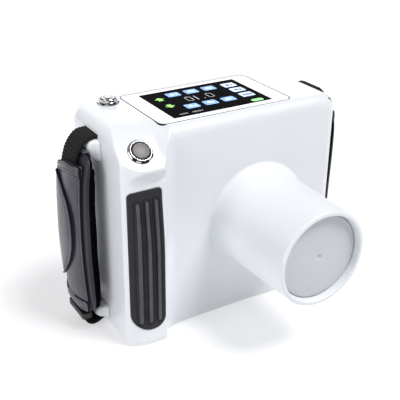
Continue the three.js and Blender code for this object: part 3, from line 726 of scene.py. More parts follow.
def webbing_material():
    """Black grosgrain: fine threads along the strap on top of the modelled cross ribs."""
    nodes = Nodes("webbing")
    threads = nodes.add(
        "ShaderNodeTexWave", wave_type="BANDS", bands_direction="Y", Scale=1.0, Distortion=1.5)
    threads.inputs["Detail"].default_value = 2.0
    threads.inputs["Detail Scale"].default_value = 2.0
    nodes.link(nodes.scaled(300), threads.inputs["Vector"])
    fuzz = nodes.noise(1500, 3)
    half_threads = nodes.math("MULTIPLY", threads.outputs["Fac"], 0.5)
    mixed = nodes.math("ADD", half_threads, nodes.math("MULTIPLY", fuzz, 0.5))
    tint = nodes.ramp(mixed, [(0.3, srgb(5, 5, 6)), (0.75, srgb(24, 24, 26))])
    skin = nodes.bump(mixed, 0.6, 0.00025)
    return nodes.finish(Base_Color=tint, Roughness=0.8, Normal=skin, Sheen_Weight=0.02, IOR=1.3)


def thread_material(name, color, shade):
    nodes = Nodes(name)
    twist = nodes.noise(2500, 2)
    tint = nodes.ramp(twist, [(0.3, color), (0.7, shade)])
    return nodes.finish(Base_Color=tint, Roughness=0.7, Normal=nodes.bump(twist, 0.5, 0.0001))


WHITE = plastic("white_shell", srgb(220, 223, 227), srgb(216, 219, 224), 0.28, coat=0.3, grain=0.12)
WINDOW_WHITE = plastic("window_white", srgb(249, 250, 251), srgb(246, 247, 249), 0.12, coat=0.4, grain=0.04)
DISPLAY_BLACK = plastic("display_black", srgb(10, 10, 13), srgb(15, 15, 18), 0.25, grain=0.04, ior=1.02)
GAP_BLACK = plastic("gap_black", srgb(22, 22, 24), srgb(34, 34, 37), 0.6)
CONE_WHITE = plastic("cone_white", srgb(220, 223, 227), srgb(216, 219, 224), 0.42, grain=0.12)
GREY_PLASTIC = plastic("grey_plastic", srgb(196, 198, 204), srgb(188, 190, 197), 0.38)
DARK_PLASTIC = plastic("dark_plastic", srgb(26, 26, 28), srgb(38, 38, 41), 0.5, grain=0.6)
BOARD_GREEN = plastic("circuit_board", srgb(24, 92, 52), srgb(32, 112, 66), 0.45)
CHROME = metal("chrome_ring", srgb(214, 214, 216), srgb(226, 226, 228), 0.07, 0.04)
# Dark chrome used as painted reflection on the rings and as painted groove shade on the power cap.
PAINTED_SHADE_AND_REFLECTION = metal("chrome_painted_shade_and_reflection", srgb(38, 38, 40), srgb(60, 60, 63), 0.2, 0.04)
CAP_SATIN = metal("cap_satin", srgb(100, 97, 96), srgb(122, 118, 117), 0.5, 0.3, (1, 1, 1), 900, 0.25)
SATIN = metal("satin_steel", srgb(158, 154, 152), srgb(182, 178, 176), 0.34, 0.25, (1, 1, 1), 900)
LEAD = metal("lead_sheet", srgb(96, 98, 102), srgb(120, 122, 126), 0.55, 0.4, (1, 1, 1), 160)
ALUMINIUM = metal("cast_aluminium", srgb(150, 152, 156), srgb(172, 174, 178), 0.45, 0.5, (1, 1, 1), 350)
RUBBER = rubber_material("rib_rubber", srgb(24, 25, 28), srgb(35, 35, 40))
# Lighter rubber painted on the rib tops as their highlight.
RIB_TOP_HIGHLIGHT = rubber_material("rib_tops_painted_highlight", srgb(66, 64, 67), srgb(80, 78, 81))
WEBBING_CLOTH = webbing_material()
LEATHER = leather_material("leather", srgb(35, 34, 45), srgb(68, 66, 80), 0.34)
PAD_LEATHER = leather_material("pad_leather", srgb(26, 24, 34), srgb(40, 38, 50), 0.46, 0.1, 1.38)
# Near-black lining, its colour also painted shade for the gap between strap and wall.
LINING_AND_GAP_SHADE = leather_material("lining", srgb(3, 3, 4), srgb(7, 7, 9), 0.8, 0.0, 1.08)
# Black for painted leather edges and for the painted shade beside the hem folds.
EDGE_PAINT_AND_HEM_SHADE = leather_material("leather_edge_paint_and_hem_shade", srgb(6, 6, 8), srgb(14, 14, 17), 0.6, 0.0, 1.2)
GLASS = plastic("tube_glass", srgb(190, 214, 220), srgb(206, 224, 228), 0.08, coat=0.5, grain=0.02)
THREAD = thread_material("thread", srgb(30, 29, 33), srgb(70, 68, 76))


def dress(made, *materials):
    while made.data.materials:
        made.data.materials.pop()
    for material in materials:
        made.data.materials.append(material)


# ---- display window with its generic screen ----
LCD_BORDER = 0.9  # the printed white border overlaps the display by this much
SCREEN_LOW = (LCD_LOW[0] + LCD_BORDER, LCD_LOW[1] + LCD_BORDER)
SCREEN_HIGH = (LCD_HIGH[0] - LCD_BORDER, LCD_HIGH[1] - LCD_BORDER)


def make_window():
    """A plate with softly rounded top edges; its middle is dark glass inside a printed white border."""
    low, high = WINDOW_LOW, WINDOW_HIGH
    edge = 0.5
    shape = bmesh.new()
    loops = []
    rims = ((0, low[2]), (0, high[2] - edge), (edge * 0.3, high[2] - edge * 0.3), (edge, high[2]))
    for inset, level in rims:
        outline = rounded_outline(
            low[0] + inset, high[0] - inset, low[1] + inset, high[1] - inset, 5 - inset, 14)
        loops.append([shape.verts.new((x * MM, y * MM, level * MM)) for x, y in outline])
    for below, above in zip(loops, loops[1:]):
        for i in range(len(below)):
            j = (i + 1) % len(below)
            shape.faces.new((below[i], below[j], above[j], above[i])).material_index = 2
    shape.faces.new(loops[0][::-1]).material_index = 2
    screen = rounded_outline(*[v for pair in zip(SCREEN_LOW, SCREEN_HIGH) for v in pair], 0.8, 14)
    inner = [shape.verts.new((x * MM, y * MM, high[2] * MM)) for x, y in screen]
    top = loops[-1]
    for i in range(len(top)):
        j = (i + 1) % len(top)
        shape.faces.new((top[i], top[j], inner[j], inner[i])).material_index = 0
    shape.faces.new(inner).material_index = 1
    mesh = bpy.data.meshes.new("display_window")
    shape.to_mesh(mesh)
    shape.free()
    finish_shading(mesh, 30)
    made = new_object("display_window", mesh)
    turn_outward(made)
    dress(made, WINDOW_WHITE, DISPLAY_BLACK, GAP_BLACK)
    return made


# ---- generic screen content, read from behind the unit ----
def flat_shape(points, faces, name, lift=0.05):
    """Flat print just above the glass, from 2-D points."""
    level = TOP_Z + lift
    return object_from(name, [(x, y, level) for x, y in points], faces)


def filled(outline):
    return list(outline), [list(range(len(outline)))]


def framed(outer, inner):
    count = len(outer)
    faces = [[i, (i + 1) % count, count + (i + 1) % count, count + i] for i in range(count)]
    return list(outer) + list(inner), faces


def join_shapes(shapes):
    points, faces = [], []
    for more_points, more_faces in shapes:
        base = len(points)
        points += more_points
        faces += [[base + k for k in face] for face in more_faces]
    return points, faces


def plate(cx, cy, width, depth, radius):
    return rounded_outline(cx - width / 2, cx + width / 2, cy - depth / 2, cy + depth / 2, radius, 5)


def seven_segment_zero(cx, cy):
    return framed(plate(cx, cy, 4.4, 8.0, 1.6), plate(cx, cy, 3.3, 6.9, 1.1))


BACK_ROW_Y, FRONT_ROW_Y = 49.2, 24.2
ICON_COLUMNS = (-15.6, -1.8, 12.0)
SIDE_COLUMN_X = 27.6


def screen_marks():
    """Flat marks by colour: icon plates, their light symbols, the read-out, side keys and arrows."""
    icons = [filled(plate(x, y, 9.6, 7.6, 1.2)) for y in (BACK_ROW_Y, FRONT_ROW_Y) for x in ICON_COLUMNS]
    symbols = []
    for y in (BACK_ROW_Y, FRONT_ROW_Y):
        for k, x in enumerate(ICON_COLUMNS):
            symbols.append(filled(plate(x - 0.6, y + 0.2, 3.2, 3.6, 1.4)))
            symbols.append(filled(plate(x + 2.4 - 0.5 * k, y - 0.4, 1.2, 2.6, 0.5)))
    keys = [filled(plate(SIDE_COLUMN_X, y, 9.8, 8.0, 1.0)) for y in (48.2, 37.2, 26.0)]
    glyphs = [filled(plate(SIDE_COLUMN_X - 1.0, 48.4, 2.6, 3.4, 1.2)),
              filled(plate(SIDE_COLUMN_X + 1.6, 47.6, 1.4, 2.0, 0.6)),
              filled(plate(SIDE_COLUMN_X - 0.8, 37.4, 3.0, 2.6, 1.2)),
              filled(plate(SIDE_COLUMN_X + 1.8, 36.6, 1.2, 3.0, 0.5))]
    glyphs += [filled(plate(SIDE_COLUMN_X + x, 26.0, 1.3, 3.0, 0.4)) for x in (-2.4, -0.6, 1.2, 3.0)]
    bar = [filled(plate(SIDE_COLUMN_X, 13.6, 9.0, 4.4, 2.1))]
    arrows = []
    for y, way in ((44.6, 1), (30.8, -1)):
        arrows.append(filled([(-31.6, y), (-28.0, y + 3.4 * way), (-24.4, y)][::way]))
        arrows.append(filled(plate(-28.0, y - 1.4 * way, 3.4, 3.0, 0.3)))
    dot = filled(plate(-0.2, 33.4, 1.0, 1.0, 0.4))
    one = filled(plate(-5.2, 36.8, 0.8, 8.0, 0.3))
    digits = [seven_segment_zero(5.4, 36.8), dot, one, seven_segment_zero(-10.4, 36.8)]
    notes = [filled(plate(-30.0 + k, 14.2, 0.5, 1.5 + 0.5 * (k % 2), 0.2)) for k in range(6)]
    notes += [filled(plate(-21.0 + k, 14.2, 0.5, 1.5 + 0.5 * (k % 3), 0.2)) for k in range(8)]
    return {"icons": icons, "symbols": symbols, "keys": keys, "glyphs": glyphs, "bar": bar, "arrows": arrows,
            "digits": digits, "notes": notes}


def lit(name, color, shade, glow):
    """A lit screen colour with a soft gradient across it."""
    nodes = Nodes(name)
    tint = nodes.ramp(nodes.noise(160, 1), [(0.35, color), (0.65, shade)])
    return nodes.finish(Base_Color=tint, Roughness=0.3, Emission_Color=tint, Emission_Strength=glow)


def make_screen():
    colors = {
        "icons": (srgb(96, 150, 214), srgb(120, 172, 230)),
        "symbols": (srgb(205, 226, 247), srgb(230, 240, 252)),
        "keys": (srgb(178, 198, 240), srgb(206, 220, 248)),
        "glyphs": (srgb(40, 52, 120), srgb(60, 72, 140)),
        "bar": (srgb(110, 208, 112), srgb(140, 226, 140)),
        "arrows": (srgb(120, 190, 70), srgb(146, 210, 92)),
        "digits": (srgb(150, 152, 156), srgb(178, 180, 184)),
        "notes": (srgb(132, 134, 138), srgb(160, 162, 166))}
    for name, shapes in screen_marks().items():
        lift = 0.07 if name in ("symbols", "glyphs") else 0.03
        made = flat_shape(*join_shapes(shapes), "screen_" + name, lift)
        dress(made, lit("screen_" + name, *colors[name], 0.35))
        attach(made, "body")


# ---- back of the unit ----
def make_socket():
    """Round barrel inlet with a rounded mouth and a centre pin."""
    low, high = node_box("charging_socket")
    x, z = (low[0] + high[0]) / 2, (low[2] + high[2]) / 2
    radius = (high[0] - low[0]) / 2
    front, back = low[1], high[1]
    rim = [(radius, back - 0.8), (radius, back), (2.9, back), (2.9, back - 9.4)]
    profile = [(0, front), (radius, front), *soften_profile(rim, 0.5), (1.0, back - 9.4)]
    profile += soften_profile([(1.0, back - 9.4), (1.0, back - 0.9), (0, back - 0.9)], 0.4)[1:]
    return lathe("charging_socket", profile, facing_back(x, z), 96, 35)


def make_screw(index, x, z):
    """Pan-headed case screw with a six-sided recess."""
    name = "rear_screw_" + str(index + 1)
    low, high = node_box(name)
    seat = SCREW_SEAT_Y + FIT
    head = soften_profile([(1.3, seat), (2.8, seat), (2.8, seat + 2.4), (0, seat + 2.4)], 0.6)
    profile = [(0, low[1]), (1.3, low[1]), *head]
    made = lathe(name, profile, facing_back(x, z), 64, 35)
    corners = [(x + 1.35 * math.cos(a), z + 1.35 * math.sin(a)) for a in np.linspace(0, 2 * math.pi, 7)[:-1]]
    recess = prism("recess", corners, seat + 1.1, high[1] + 3, "Y")
    turn_outward(recess)
    apply_boolean(made, recess)
    finish_shading(made.data, 35)
    return made


# ---- hand straps: shared shape ----
# Strap points are (outward, y, z): outward is the distance from the unit's middle plane on either side.
STRAP_WIDTH = 35.0
STRAP_FRONT_Y, STRAP_REAR_Y = STRAP_Y - STRAP_WIDTH / 2, STRAP_Y + STRAP_WIDTH / 2
PAD_BOTTOM_Z, PAD_TOP_Z = 14.5, 126.0
PAD_INNER_X, PAD_BULGE = 91.6, 1.3
PAD_OVERHANG = 4.0  # how far the lining's front edge stands ahead of the cover's
PAD_ROLL, PAD_FILLING = 3.0, 4.8  # width of the rolled edge, and how far the filling stands inward
FILLING_LOW_Z, FILLING_HIGH_Z = 16.5, 118.0
FILLING_SIDE_RISE, FILLING_END_RISE = 6.0, 9.0  # how quickly it rounds up from its sides and ends
LEAN_START_Z, PAD_LEAN = 108.0, 2.2
RIGHT_HANG, RIGHT_ARCH = 2.0, 3.0  # the right strap hangs back at mid-height and arches higher on top
WEBBING_X, WEBBING_BULGE = 96.6, 2.8
WEBBING_WIDTH, WEBBING_THICKNESS = 19.6, 2.0
COVER_ARCH, LEATHER_THICKNESS = 3.6, 1.3
COVER_BOTTOM_Z, COVER_TOP_Z = 17.0, 121.0
FLAP_BOTTOM_Z, FLAP_TOP_Z = 34.5, 114.9
FLAP_TIP_Y, FLAP_REACH = 21.5, 22.5


def strap_bulge(z):
    middle, half = (PAD_TOP_Z + PAD_BOTTOM_Z) / 2, (PAD_TOP_Z - PAD_BOTTOM_Z) / 2
    return 1 - ((z - middle) / half) ** 2


def webbing_x(z):
    return WEBBING_X + WEBBING_BULGE * strap_bulge(z)


def pad_lean(z):
    """The lining's top leans toward the upper lug."""
    return PAD_LEAN * (np.maximum(z - LEAN_START_Z, 0) / (PAD_TOP_Z - LEAN_START_Z)) ** 2


def round_rise(distance, length):
    """Quarter round from 0 at the start to 1 after the given length."""
    return np.sqrt(1 - (1 - np.clip(distance / length, 0, 1)) ** 2)


def pad_inner(y, z):
    """The lining's face toward the body: a rolled edge, then the soft filling standing inward."""
    from_front = round_rise(y - (STRAP_FRONT_Y - PAD_OVERHANG) - PAD_ROLL, FILLING_SIDE_RISE)
    from_rear = round_rise(STRAP_REAR_Y - PAD_ROLL - y, FILLING_SIDE_RISE)
    from_low = round_rise(z - FILLING_LOW_Z, FILLING_END_RISE)
    from_ends = from_low * round_rise(FILLING_HIGH_Z - z, FILLING_END_RISE)
    filling = PAD_FILLING * from_front * from_rear * from_ends
    return PAD_INNER_X + PAD_BULGE * strap_bulge(z) - pad_lean(z) - filling


def pad_outer(y, z):
    return webbing_x(z) - WEBBING_THICKNESS / 2 - 3 * FIT - pad_lean(z) + 0 * y


def cover_inner(y, z):
    arch = COVER_ARCH * (1 - np.abs((y - STRAP_Y) / (STRAP_WIDTH / 2)) ** 3)
    return webbing_x(z) - WEBBING_THICKNESS / 2 - 2 * FIT + arch


def cover_outer(y, z):
    return cover_inner(y, z) + LEATHER_THICKNESS


def flap_inner(y, z):
    return cover_outer(y, z) + FIT


def flap_outer(y, z):
    return flap_inner(y, z) + LEATHER_THICKNESS


def rounded_span(z, low, high, radius_low, radius_high):
    """Front and rear edge of a strap layer whose corners are rounded."""
    def cut(distance, radius):
        t = np.clip(distance / radius, 0, 1)
        return radius * (1 - np.sqrt(np.maximum(1 - (1 - t) ** 2, 0)))
    inset = np.maximum(cut(z - low, radius_low), cut(high - z, radius_high))
    return STRAP_FRONT_Y + inset, STRAP_REAR_Y - inset


def pad_span(z):
    front, rear = rounded_span(z, PAD_BOTTOM_Z, PAD_TOP_Z, 15.0, 9.0)
    return front - PAD_OVERHANG, rear


def cover_span(z):
    return rounded_span(z, COVER_BOTTOM_Z, COVER_TOP_Z, 2.0, 2.0)


def flap_span(z):
    """The flap reaches furthest forward at half height and sweeps back to both ends."""
    middle = (FLAP_BOTTOM_Z + FLAP_TOP_Z) / 2
    lean = (z - middle) / (FLAP_TOP_Z - middle)
    front = FLAP_TIP_Y + FLAP_REACH * np.abs(lean) ** 2.4
    return front, np.full_like(front, STRAP_REAR_Y)


def edge_steps(length, rim, spacing):
    """Positions from 0 to length, close together within a rim of both ends."""
    near = rim * np.array([0, 0.08, 0.3, 0.62, 1.0])
    count = max(int((length - 2 * rim) / spacing), 2)
    return np.concatenate([near[:-1], np.linspace(rim, length - rim, count + 1), length - near[-2::-1]])


def layer_points(face, span, heights, across):
    """One face of a layer over heights (mm) and across (0 at the front edge, 1 at the rear edge)."""
    z = np.asarray(heights, float)[:, None]
    front, rear = span(z)
    y = front + (rear - front) * np.asarray(across, float)[None, :]
    z = np.broadcast_to(z, y.shape)
    return np.stack([face(y, z), y, z], axis=-1)


def smooth_weights(positions, count):
    """Catmull-Rom weights that read evenly spaced samples at positions from 0 to 1."""
    weights = np.zeros((len(positions), count))
    for row, t in enumerate(positions):
        x = t * (count - 1)
        i = min(int(x), count - 2)
        f = x - i
        terms = (-0.5 * f + f ** 2 - 0.5 * f ** 3, 1 - 2.5 * f ** 2 + 1.5 * f ** 3,
                 0.5 * f + 2 * f ** 2 - 1.5 * f ** 3, -0.5 * f ** 2 + 0.5 * f ** 3)
        for k, term in zip(range(i - 1, i + 3), terms):
            weights[row, min(max(k, 0), count - 1)] += term
    return weights


def slab_faces(rows, columns):
    """Quads of a closed slab: the inner grid, the outer grid, then the strip round the rim."""
    def at(layer, i, j):
        return layer * rows * columns + i * columns + j
    faces = []
    for i in range(rows - 1):
        for j in range(columns - 1):
            faces.append([at(1, i, j), at(1, i, j + 1), at(1, i + 1, j + 1), at(1, i + 1, j)])
            faces.append([at(0, i + 1, j), at(0, i + 1, j + 1), at(0, i, j + 1), at(0, i, j)])
    rim = [(0, j) for j in range(columns)] + [(i, columns - 1) for i in range(1, rows)]
    rim += [(rows - 1, j) for j in range(columns - 2, -1, -1)] + [(i, 0) for i in range(rows - 2, 0, -1)]
    for (i, j), (k, m) in zip(rim, rim[1:] + rim[:1]):
        faces.append([at(0, i, j), at(0, k, m), at(1, k, m), at(1, i, j)])
    return faces


CLOTH_FRAMES = 20
CLOTH_SCALE = 0.02  # a millimetre in cloth units: twenty times life size, where the solver behaves well


def settled(name, inner, outer, pressure):
    """Swells a sealed slab of cloth with its rim held, and returns how far both faces moved, in mm."""
    rows, columns = inner.shape[:2]
    points = np.concatenate([inner.reshape(-1, 3), outer.reshape(-1, 3)]) * CLOTH_SCALE
    mesh = bpy.data.meshes.new(name)
    mesh.from_pydata(points.tolist(), [], slab_faces(rows, columns))
    cloth_object = new_object(name, mesh)
    turn_outward(cloth_object)
    held = cloth_object.vertex_groups.new(name="rim")
    for layer in range(2):
        for i in range(rows):
            for j in range(columns):
                if i in (0, rows - 1) or j in (0, columns - 1):
                    held.add([layer * rows * columns + i * columns + j], 1.0, "REPLACE")
    cloth = cloth_object.modifiers.new("cloth", "CLOTH")
    cloth.settings.quality = 6
    cloth.settings.mass = 0.3
    cloth.settings.tension_stiffness = 12
    cloth.settings.compression_stiffness = 12
    cloth.settings.bending_stiffness = 0.4
    cloth.settings.use_pressure = True
    cloth.settings.uniform_pressure_force = pressure
    cloth.settings.vertex_group_mass = "rim"
    cloth.settings.effector_weights.gravity = 0
    cloth.point_cache.frame_start = 1
    cloth.point_cache.frame_end = CLOTH_FRAMES
    scene = bpy.context.scene
    for frame_number in range(1, CLOTH_FRAMES + 1):
        scene.frame_set(frame_number)
    depsgraph = bpy.context.evaluated_depsgraph_get()
    moved = cloth_object.evaluated_get(depsgraph).to_mesh()
    places = np.empty(len(moved.vertices) * 3)
    moved.vertices.foreach_get("co", places)
    cloth_object.evaluated_get(depsgraph).to_mesh_clear()
    scene.frame_set(1)
    bpy.data.objects.remove(cloth_object)
    bpy.data.meshes.remove(mesh)
    shift = (places.reshape(-1, 3) - points) / CLOTH_SCALE
    return shift.reshape(2, rows, columns, 3)


def capped(shift, limit):
    """Scales every movement down so that none is longer than limit."""
    length = np.linalg.norm(shift, axis=-1, keepdims=True)
    return shift * np.where(length > limit, limit / np.maximum(length, 1e-6), 1)


def mirrored(points, side):
    """Turns outward distances into X on one side of the unit; the right strap also hangs back a little."""
    turned = np.array(points, float).reshape(-1, 3)
    turned[:, 0] *= side
    if side > 0:
        height = turned[:, 2]
        turned[:, 1] += RIGHT_HANG * (1 - smooth_step(60, 118, height)) * smooth_step(14, 40, height)
    return turned


def swollen_faces(name, inner_face, outer_face, span, low, high, pressure, limits, steps):
    """Fine grids of both faces of a layer after the cloth has settled. limits cap each face's movement."""
    heights, across, spacing = steps
    rows = max(int((high - low) / spacing), 4) + 1
    columns = 11
    edge = 0.6
    coarse_heights = np.linspace(low + edge, high - edge, rows)
    coarse_across = np.linspace(0, 1, columns)
    inner = layer_points(inner_face, span, coarse_heights, coarse_across)
    outer = layer_points(outer_face, span, coarse_heights, coarse_across)
    shifts = settled(name, inner, outer, pressure)
    read_rows = smooth_weights((heights - low) / (high - low), rows)
    read_columns = smooth_weights(across, columns)
    faces = []
    for face, shift, limit in zip((inner_face, outer_face), shifts, limits):
        fine = layer_points(face, span, heights, across)
        move = np.einsum("ri,ijk,cj->rck", read_rows, capped(shift, limit), read_columns)
        faces.append(fine + move)
    return faces


def round_rim(inner, outer, span, low, high, rim):
    """Brings both faces together toward the rim so that the edge of the slab is round."""
    z = outer[:, :, 2]
    y = outer[:, :, 1]
    front, rear = span(z[:, :1])
    from_edge = np.minimum(np.minimum(y - front, rear - y), np.minimum(z - low, high - z))
    t = np.clip(from_edge / rim, 0, 1)
    keep = np.sqrt(np.maximum(1 - (1 - t) ** 2, 0)) * 0.94 + 0.06
    middle = (inner + outer) / 2
    inner = middle + (inner - middle) * keep[:, :, None]
    outer = middle + (outer - middle) * keep[:, :, None]
    return inner, outer


def slab_object(name, inner, outer, side, marked=None, sharp_degrees=60):
    """A closed slab. Cells where marked is true, and the rim, get the second material on the outer face."""
    rows, columns = inner.shape[:2]
    points = np.concatenate([mirrored(inner, side), mirrored(outer, side)])
    made = object_from(name, points, slab_faces(rows, columns), sharp_degrees)
    turn_outward(made)
    if marked is not None:
        cells = (marked[:-1, :-1] & marked[1:, 1:]).ravel()
        for face in made.data.polygons:
            cell, inward = divmod(face.index, 2)
            face.material_index = int(cell >= len(cells) or (inward == 0 and cells[cell]))
    return made


def layer_steps(low, high, rim, spacing, width=STRAP_WIDTH):
    heights = low + edge_steps(high - low, rim, spacing)
    across = edge_steps(width, rim, spacing) / width
    return heights, across, 3.5


def seam_profile(distance, width):
    """0 far from a seam line, -1 at it: the valley a tight row of stitches pulls into padding."""
    return -np.exp(-((distance / width) ** 2))


def waves(y, z, phase):
    """Shallow slack waves in leather, in millimetres."""
    return (0.22 * np.sin(z / 11.0 + phase) * np.sin(y / 8.0 + 1.3 * phase)
            + 0.12 * np.sin(z / 5.3 + 2.1 * phase + y / 9.0))


# ---- hand straps: pieces ----
FINE_STEP = 0.8


def make_pad(side, phase):
    """Padded lining: a swollen leather slab with a rolled front edge and a seam set back from it."""
    low, high, rim = PAD_BOTTOM_Z, PAD_TOP_Z, 1.8
    steps = layer_steps(low, high, rim, FINE_STEP)
    inner, outer = swollen_faces(
        "pad_cloth", pad_inner, pad_outer, pad_span, low, high, 14.0, (1.6, 0.35), steps)
    front, rear = pad_span(inner[:, :, 2])
    from_edge = np.minimum(inner[:, :, 1] - front, rear - inner[:, :, 1])
    inner[:, :, 0] -= 0.7 * seam_profile(from_edge - PAD_ROLL, 0.7)
    inner[:, :, 0] += waves(inner[:, :, 1], inner[:, :, 2], phase)
    inner, outer = round_rim(inner, outer, pad_span, low, high, rim)
    made = slab_object("strap_pad_" + SIDE_NAMES[side], inner, outer, side)
    cells = (inner.shape[0] - 1) * (inner.shape[1] - 1)
    # The whole inner face takes the black lining, darkened further to stand in as well for the shade in the
    # gap against the wall.
    for face in made.data.polygons[:2 * cells]:
        face.material_index = face.index % 2
    dress(made, PAD_LEATHER, LINING_AND_GAP_SHADE)
    return made


def hem_relief(z, low, high, top_hem, bottom_hem):
    """Extra thickness of the folded hems at the two ends of the cover."""
    top = smooth_step(high - top_hem - 0.7, high - top_hem, z)
    bottom = 1 - smooth_step(low + bottom_hem, low + bottom_hem + 0.7, z)
    return 0.9 * np.maximum(top, bottom)


TOP_HEM, BOTTOM_HEM = 6.0, 8.0
TOP_DROP = 9.0  # the cover's top edge falls this far toward the rear


def top_drop(y, z):
    """How far the cover and its flap sag toward the rear of their top."""
    height = (z - COVER_BOTTOM_Z) / (COVER_TOP_Z - COVER_BOTTOM_Z)
    return TOP_DROP * smooth_step(STRAP_Y - 8, STRAP_REAR_Y + 8, y) * height ** 3


def leather_layer(prefix, inner, outer, side, drop, dark):
    """The sagged leather slab with its black-painted edges and any painted hem shade, and its outer face for
    the stitches.
    """
    inner[:, :, 2] -= drop
    outer[:, :, 2] -= drop
    made = slab_object(prefix + SIDE_NAMES[side], inner, outer, side, dark)
    dress(made, LEATHER, EDGE_PAINT_AND_HEM_SHADE)
    return made, outer


def make_cover(side, phase):
    """Leather cover over the webbing, with a folded hem at each end and a turned front edge."""
    low, high, rim = COVER_BOTTOM_Z, COVER_TOP_Z, 0.7
    steps = layer_steps(low, high, rim, FINE_STEP)
    _, outer = swollen_faces(
        "cover_cloth", cover_inner, cover_outer, cover_span, low, high, 3.0, (0.6, 0.9), steps)
    y, z = outer[:, :, 1], outer[:, :, 2]
    front, rear = cover_span(z)
    from_edge = np.minimum(y - front, rear - y)
    inner = outer - np.array([LEATHER_THICKNESS, 0, 0])
    outer[:, :, 0] += hem_relief(z, low, high, TOP_HEM, BOTTOM_HEM)
    outer[:, :, 0] += 0.35 * seam_profile(from_edge - 2.6, 0.5)
    outer[:, :, 0] += waves(y, z, phase + 0.9) * smooth_step(2, 9, from_edge)
    # Dark strips: black-painted leather edges, and painted shade just beside the edge of each folded hem.
    line = FINE_STEP * 0.8
    to_hem_shade_line = np.minimum(np.abs(z - high + TOP_HEM + 0.5), np.abs(z - low - BOTTOM_HEM - 0.5))
    dark = (from_edge < 0.8) | (to_hem_shade_line < line) | (np.minimum(z - low, high - z) < 0.5)
    inner, outer = round_rim(inner, outer, cover_span, low, high, rim)
    return leather_layer("strap_cover_", inner, outer, side, top_drop(y, z), dark)


def make_flap(side, phase):
    """Closing flap: a second leather layer with a swept, rolled front edge."""
    low, high, rim = FLAP_BOTTOM_Z, FLAP_TOP_Z, 0.9
    steps = layer_steps(low, high, rim, FINE_STEP, STRAP_REAR_Y - FLAP_TIP_Y)
    _, outer = swollen_faces(
        "flap_cloth", flap_inner, flap_outer, flap_span, low, high, 3.0, (0.6, 0.9), steps)
    y, z = outer[:, :, 1], outer[:, :, 2]
    front, _ = flap_span(z)
    inner = outer - np.array([LEATHER_THICKNESS, 0, 0])
    from_front = y - front
    outer[:, :, 0] += 0.4 * seam_profile(from_front - 2.4, 0.55) + 0.25 * seam_profile(from_front - 4.8, 0.5)
    outer[:, :, 0] += 0.9 * np.exp(-(((from_front - 1.0) / 1.1) ** 2))
    outer[:, :, 0] += waves(y, z, phase + 0.9) * 0.6 * smooth_step(2, 7, from_front)
    dark = (from_front < 0.7) | (np.minimum(z - low, high - z) < 0.6)
    inner, outer = round_rim(inner, outer, flap_span, low, high, rim)
    return leather_layer("strap_flap_", inner, outer, side, top_drop(y, z), dark)


def smooth_path(points, spacing):
    """Even steps along a smooth curve through the points (cubic, by chord length)."""
    points = np.array(points, float)
    t = length_along(points)
    slopes = np.gradient(points, t, axis=0)
    fine = []
    for i in range(len(points) - 1):
        span = t[i + 1] - t[i]
        f = np.linspace(0, 1, 40, endpoint=i == len(points) - 2)[:, None]
        fine.append((2 * f ** 3 - 3 * f ** 2 + 1) * points[i] + (f ** 3 - 2 * f ** 2 + f) * span * slopes[i]
                    + (3 * f ** 2 - 2 * f ** 3) * points[i + 1] + (f ** 3 - f ** 2) * span * slopes[i + 1])
    fine = np.concatenate(fine)
    run = length_along(fine)
    marks = np.linspace(0, run[-1], int(run[-1] / spacing) + 1)
    return read_line(fine, run, marks), marks


def webbing_route(side):
    """Outward distance and height of the webbing's middle: out of the wall, down the strap and back in."""
    down = [(webbing_x(z), z) for z in (120, 100, 80, 60, 40, 18)]
    lift = RIGHT_ARCH if side > 0 else 0.0
    return [(78.3, UPPER_SLOT_Z), (80.6, UPPER_SLOT_Z), (84.2, UPPER_SLOT_Z + 0.2 + 0.8 * lift),
            (88.2, UPPER_SLOT_Z - 0.6 + lift), (91.7, UPPER_SLOT_Z - 3.5 + lift),
            (94.8, UPPER_SLOT_Z - 8 + 0.7 * lift), *down, (WEBBING_X, 12), (WEBBING_X, 8.5),
            (95.2, 4.2), (92, 2.2), (88.4, 2.6), (84.2, LOWER_SLOT_Z), (78.3, LOWER_SLOT_Z)]


def tube_object(name, points, loops, count, side):
    """A closed tube from loops of count points each, with a cap on both ends."""
    faces = []
    for i in range(loops - 1):
        for k in range(count):
            after = (k + 1) % count
            faces.append([i * count + k, i * count + after, (i + 1) * count + after, (i + 1) * count + k])
    faces.append(list(range(count))[::-1])
    faces.append(list(range((loops - 1) * count, loops * count)))
    made = object_from(name, mirrored(points, side), faces, 50)
    turn_outward(made)
    return made


def band(name, route, marks, half_width, half_thickness, side, ribs=None, middle_y=STRAP_Y):
    """A flat band with rounded edges swept along a route of (outward, z); ribs is (pitch, depth)."""
    along = np.gradient(route, axis=0)
    along /= np.linalg.norm(along, axis=1, keepdims=True)
    normal = np.stack([along[:, 1], -along[:, 0]], axis=1)
    flat = np.linspace(-1, 1, 9)
    round_r = half_thickness
    section = [(f * (half_width - round_r), 1.0) for f in flat]
    turns = np.linspace(0, math.pi, 7)[1:-1]
    section += [(half_width - round_r + round_r * math.sin(a), math.cos(a)) for a in turns]
    section += [(f * (half_width - round_r), -1.0) for f in flat[::-1]]
    section += [(-half_width + round_r - round_r * math.sin(a), -math.cos(a)) for a in turns]
    thickness = np.full(len(route), half_thickness)
    if ribs is not None:
        pitch, depth = ribs
        thickness = half_thickness - depth * (0.5 + 0.5 * np.cos(2 * math.pi * marks / pitch)) ** 2
    points = []
    for (out, z), (n_out, n_z), half in zip(route, normal, thickness):
        for across, level in section:
            points.append((out + n_out * half * level, middle_y + across, z + n_z * half * level))
    return tube_object(name, points, len(route), len(section), side)


def make_webbing(side):
    route, marks = smooth_path(webbing_route(side), 0.25)
    return band("strap_webbing_" + SIDE_NAMES[side], route, marks, WEBBING_WIDTH / 2,
                WEBBING_THICKNESS / 2, side, ribs=(2.1, 0.42))


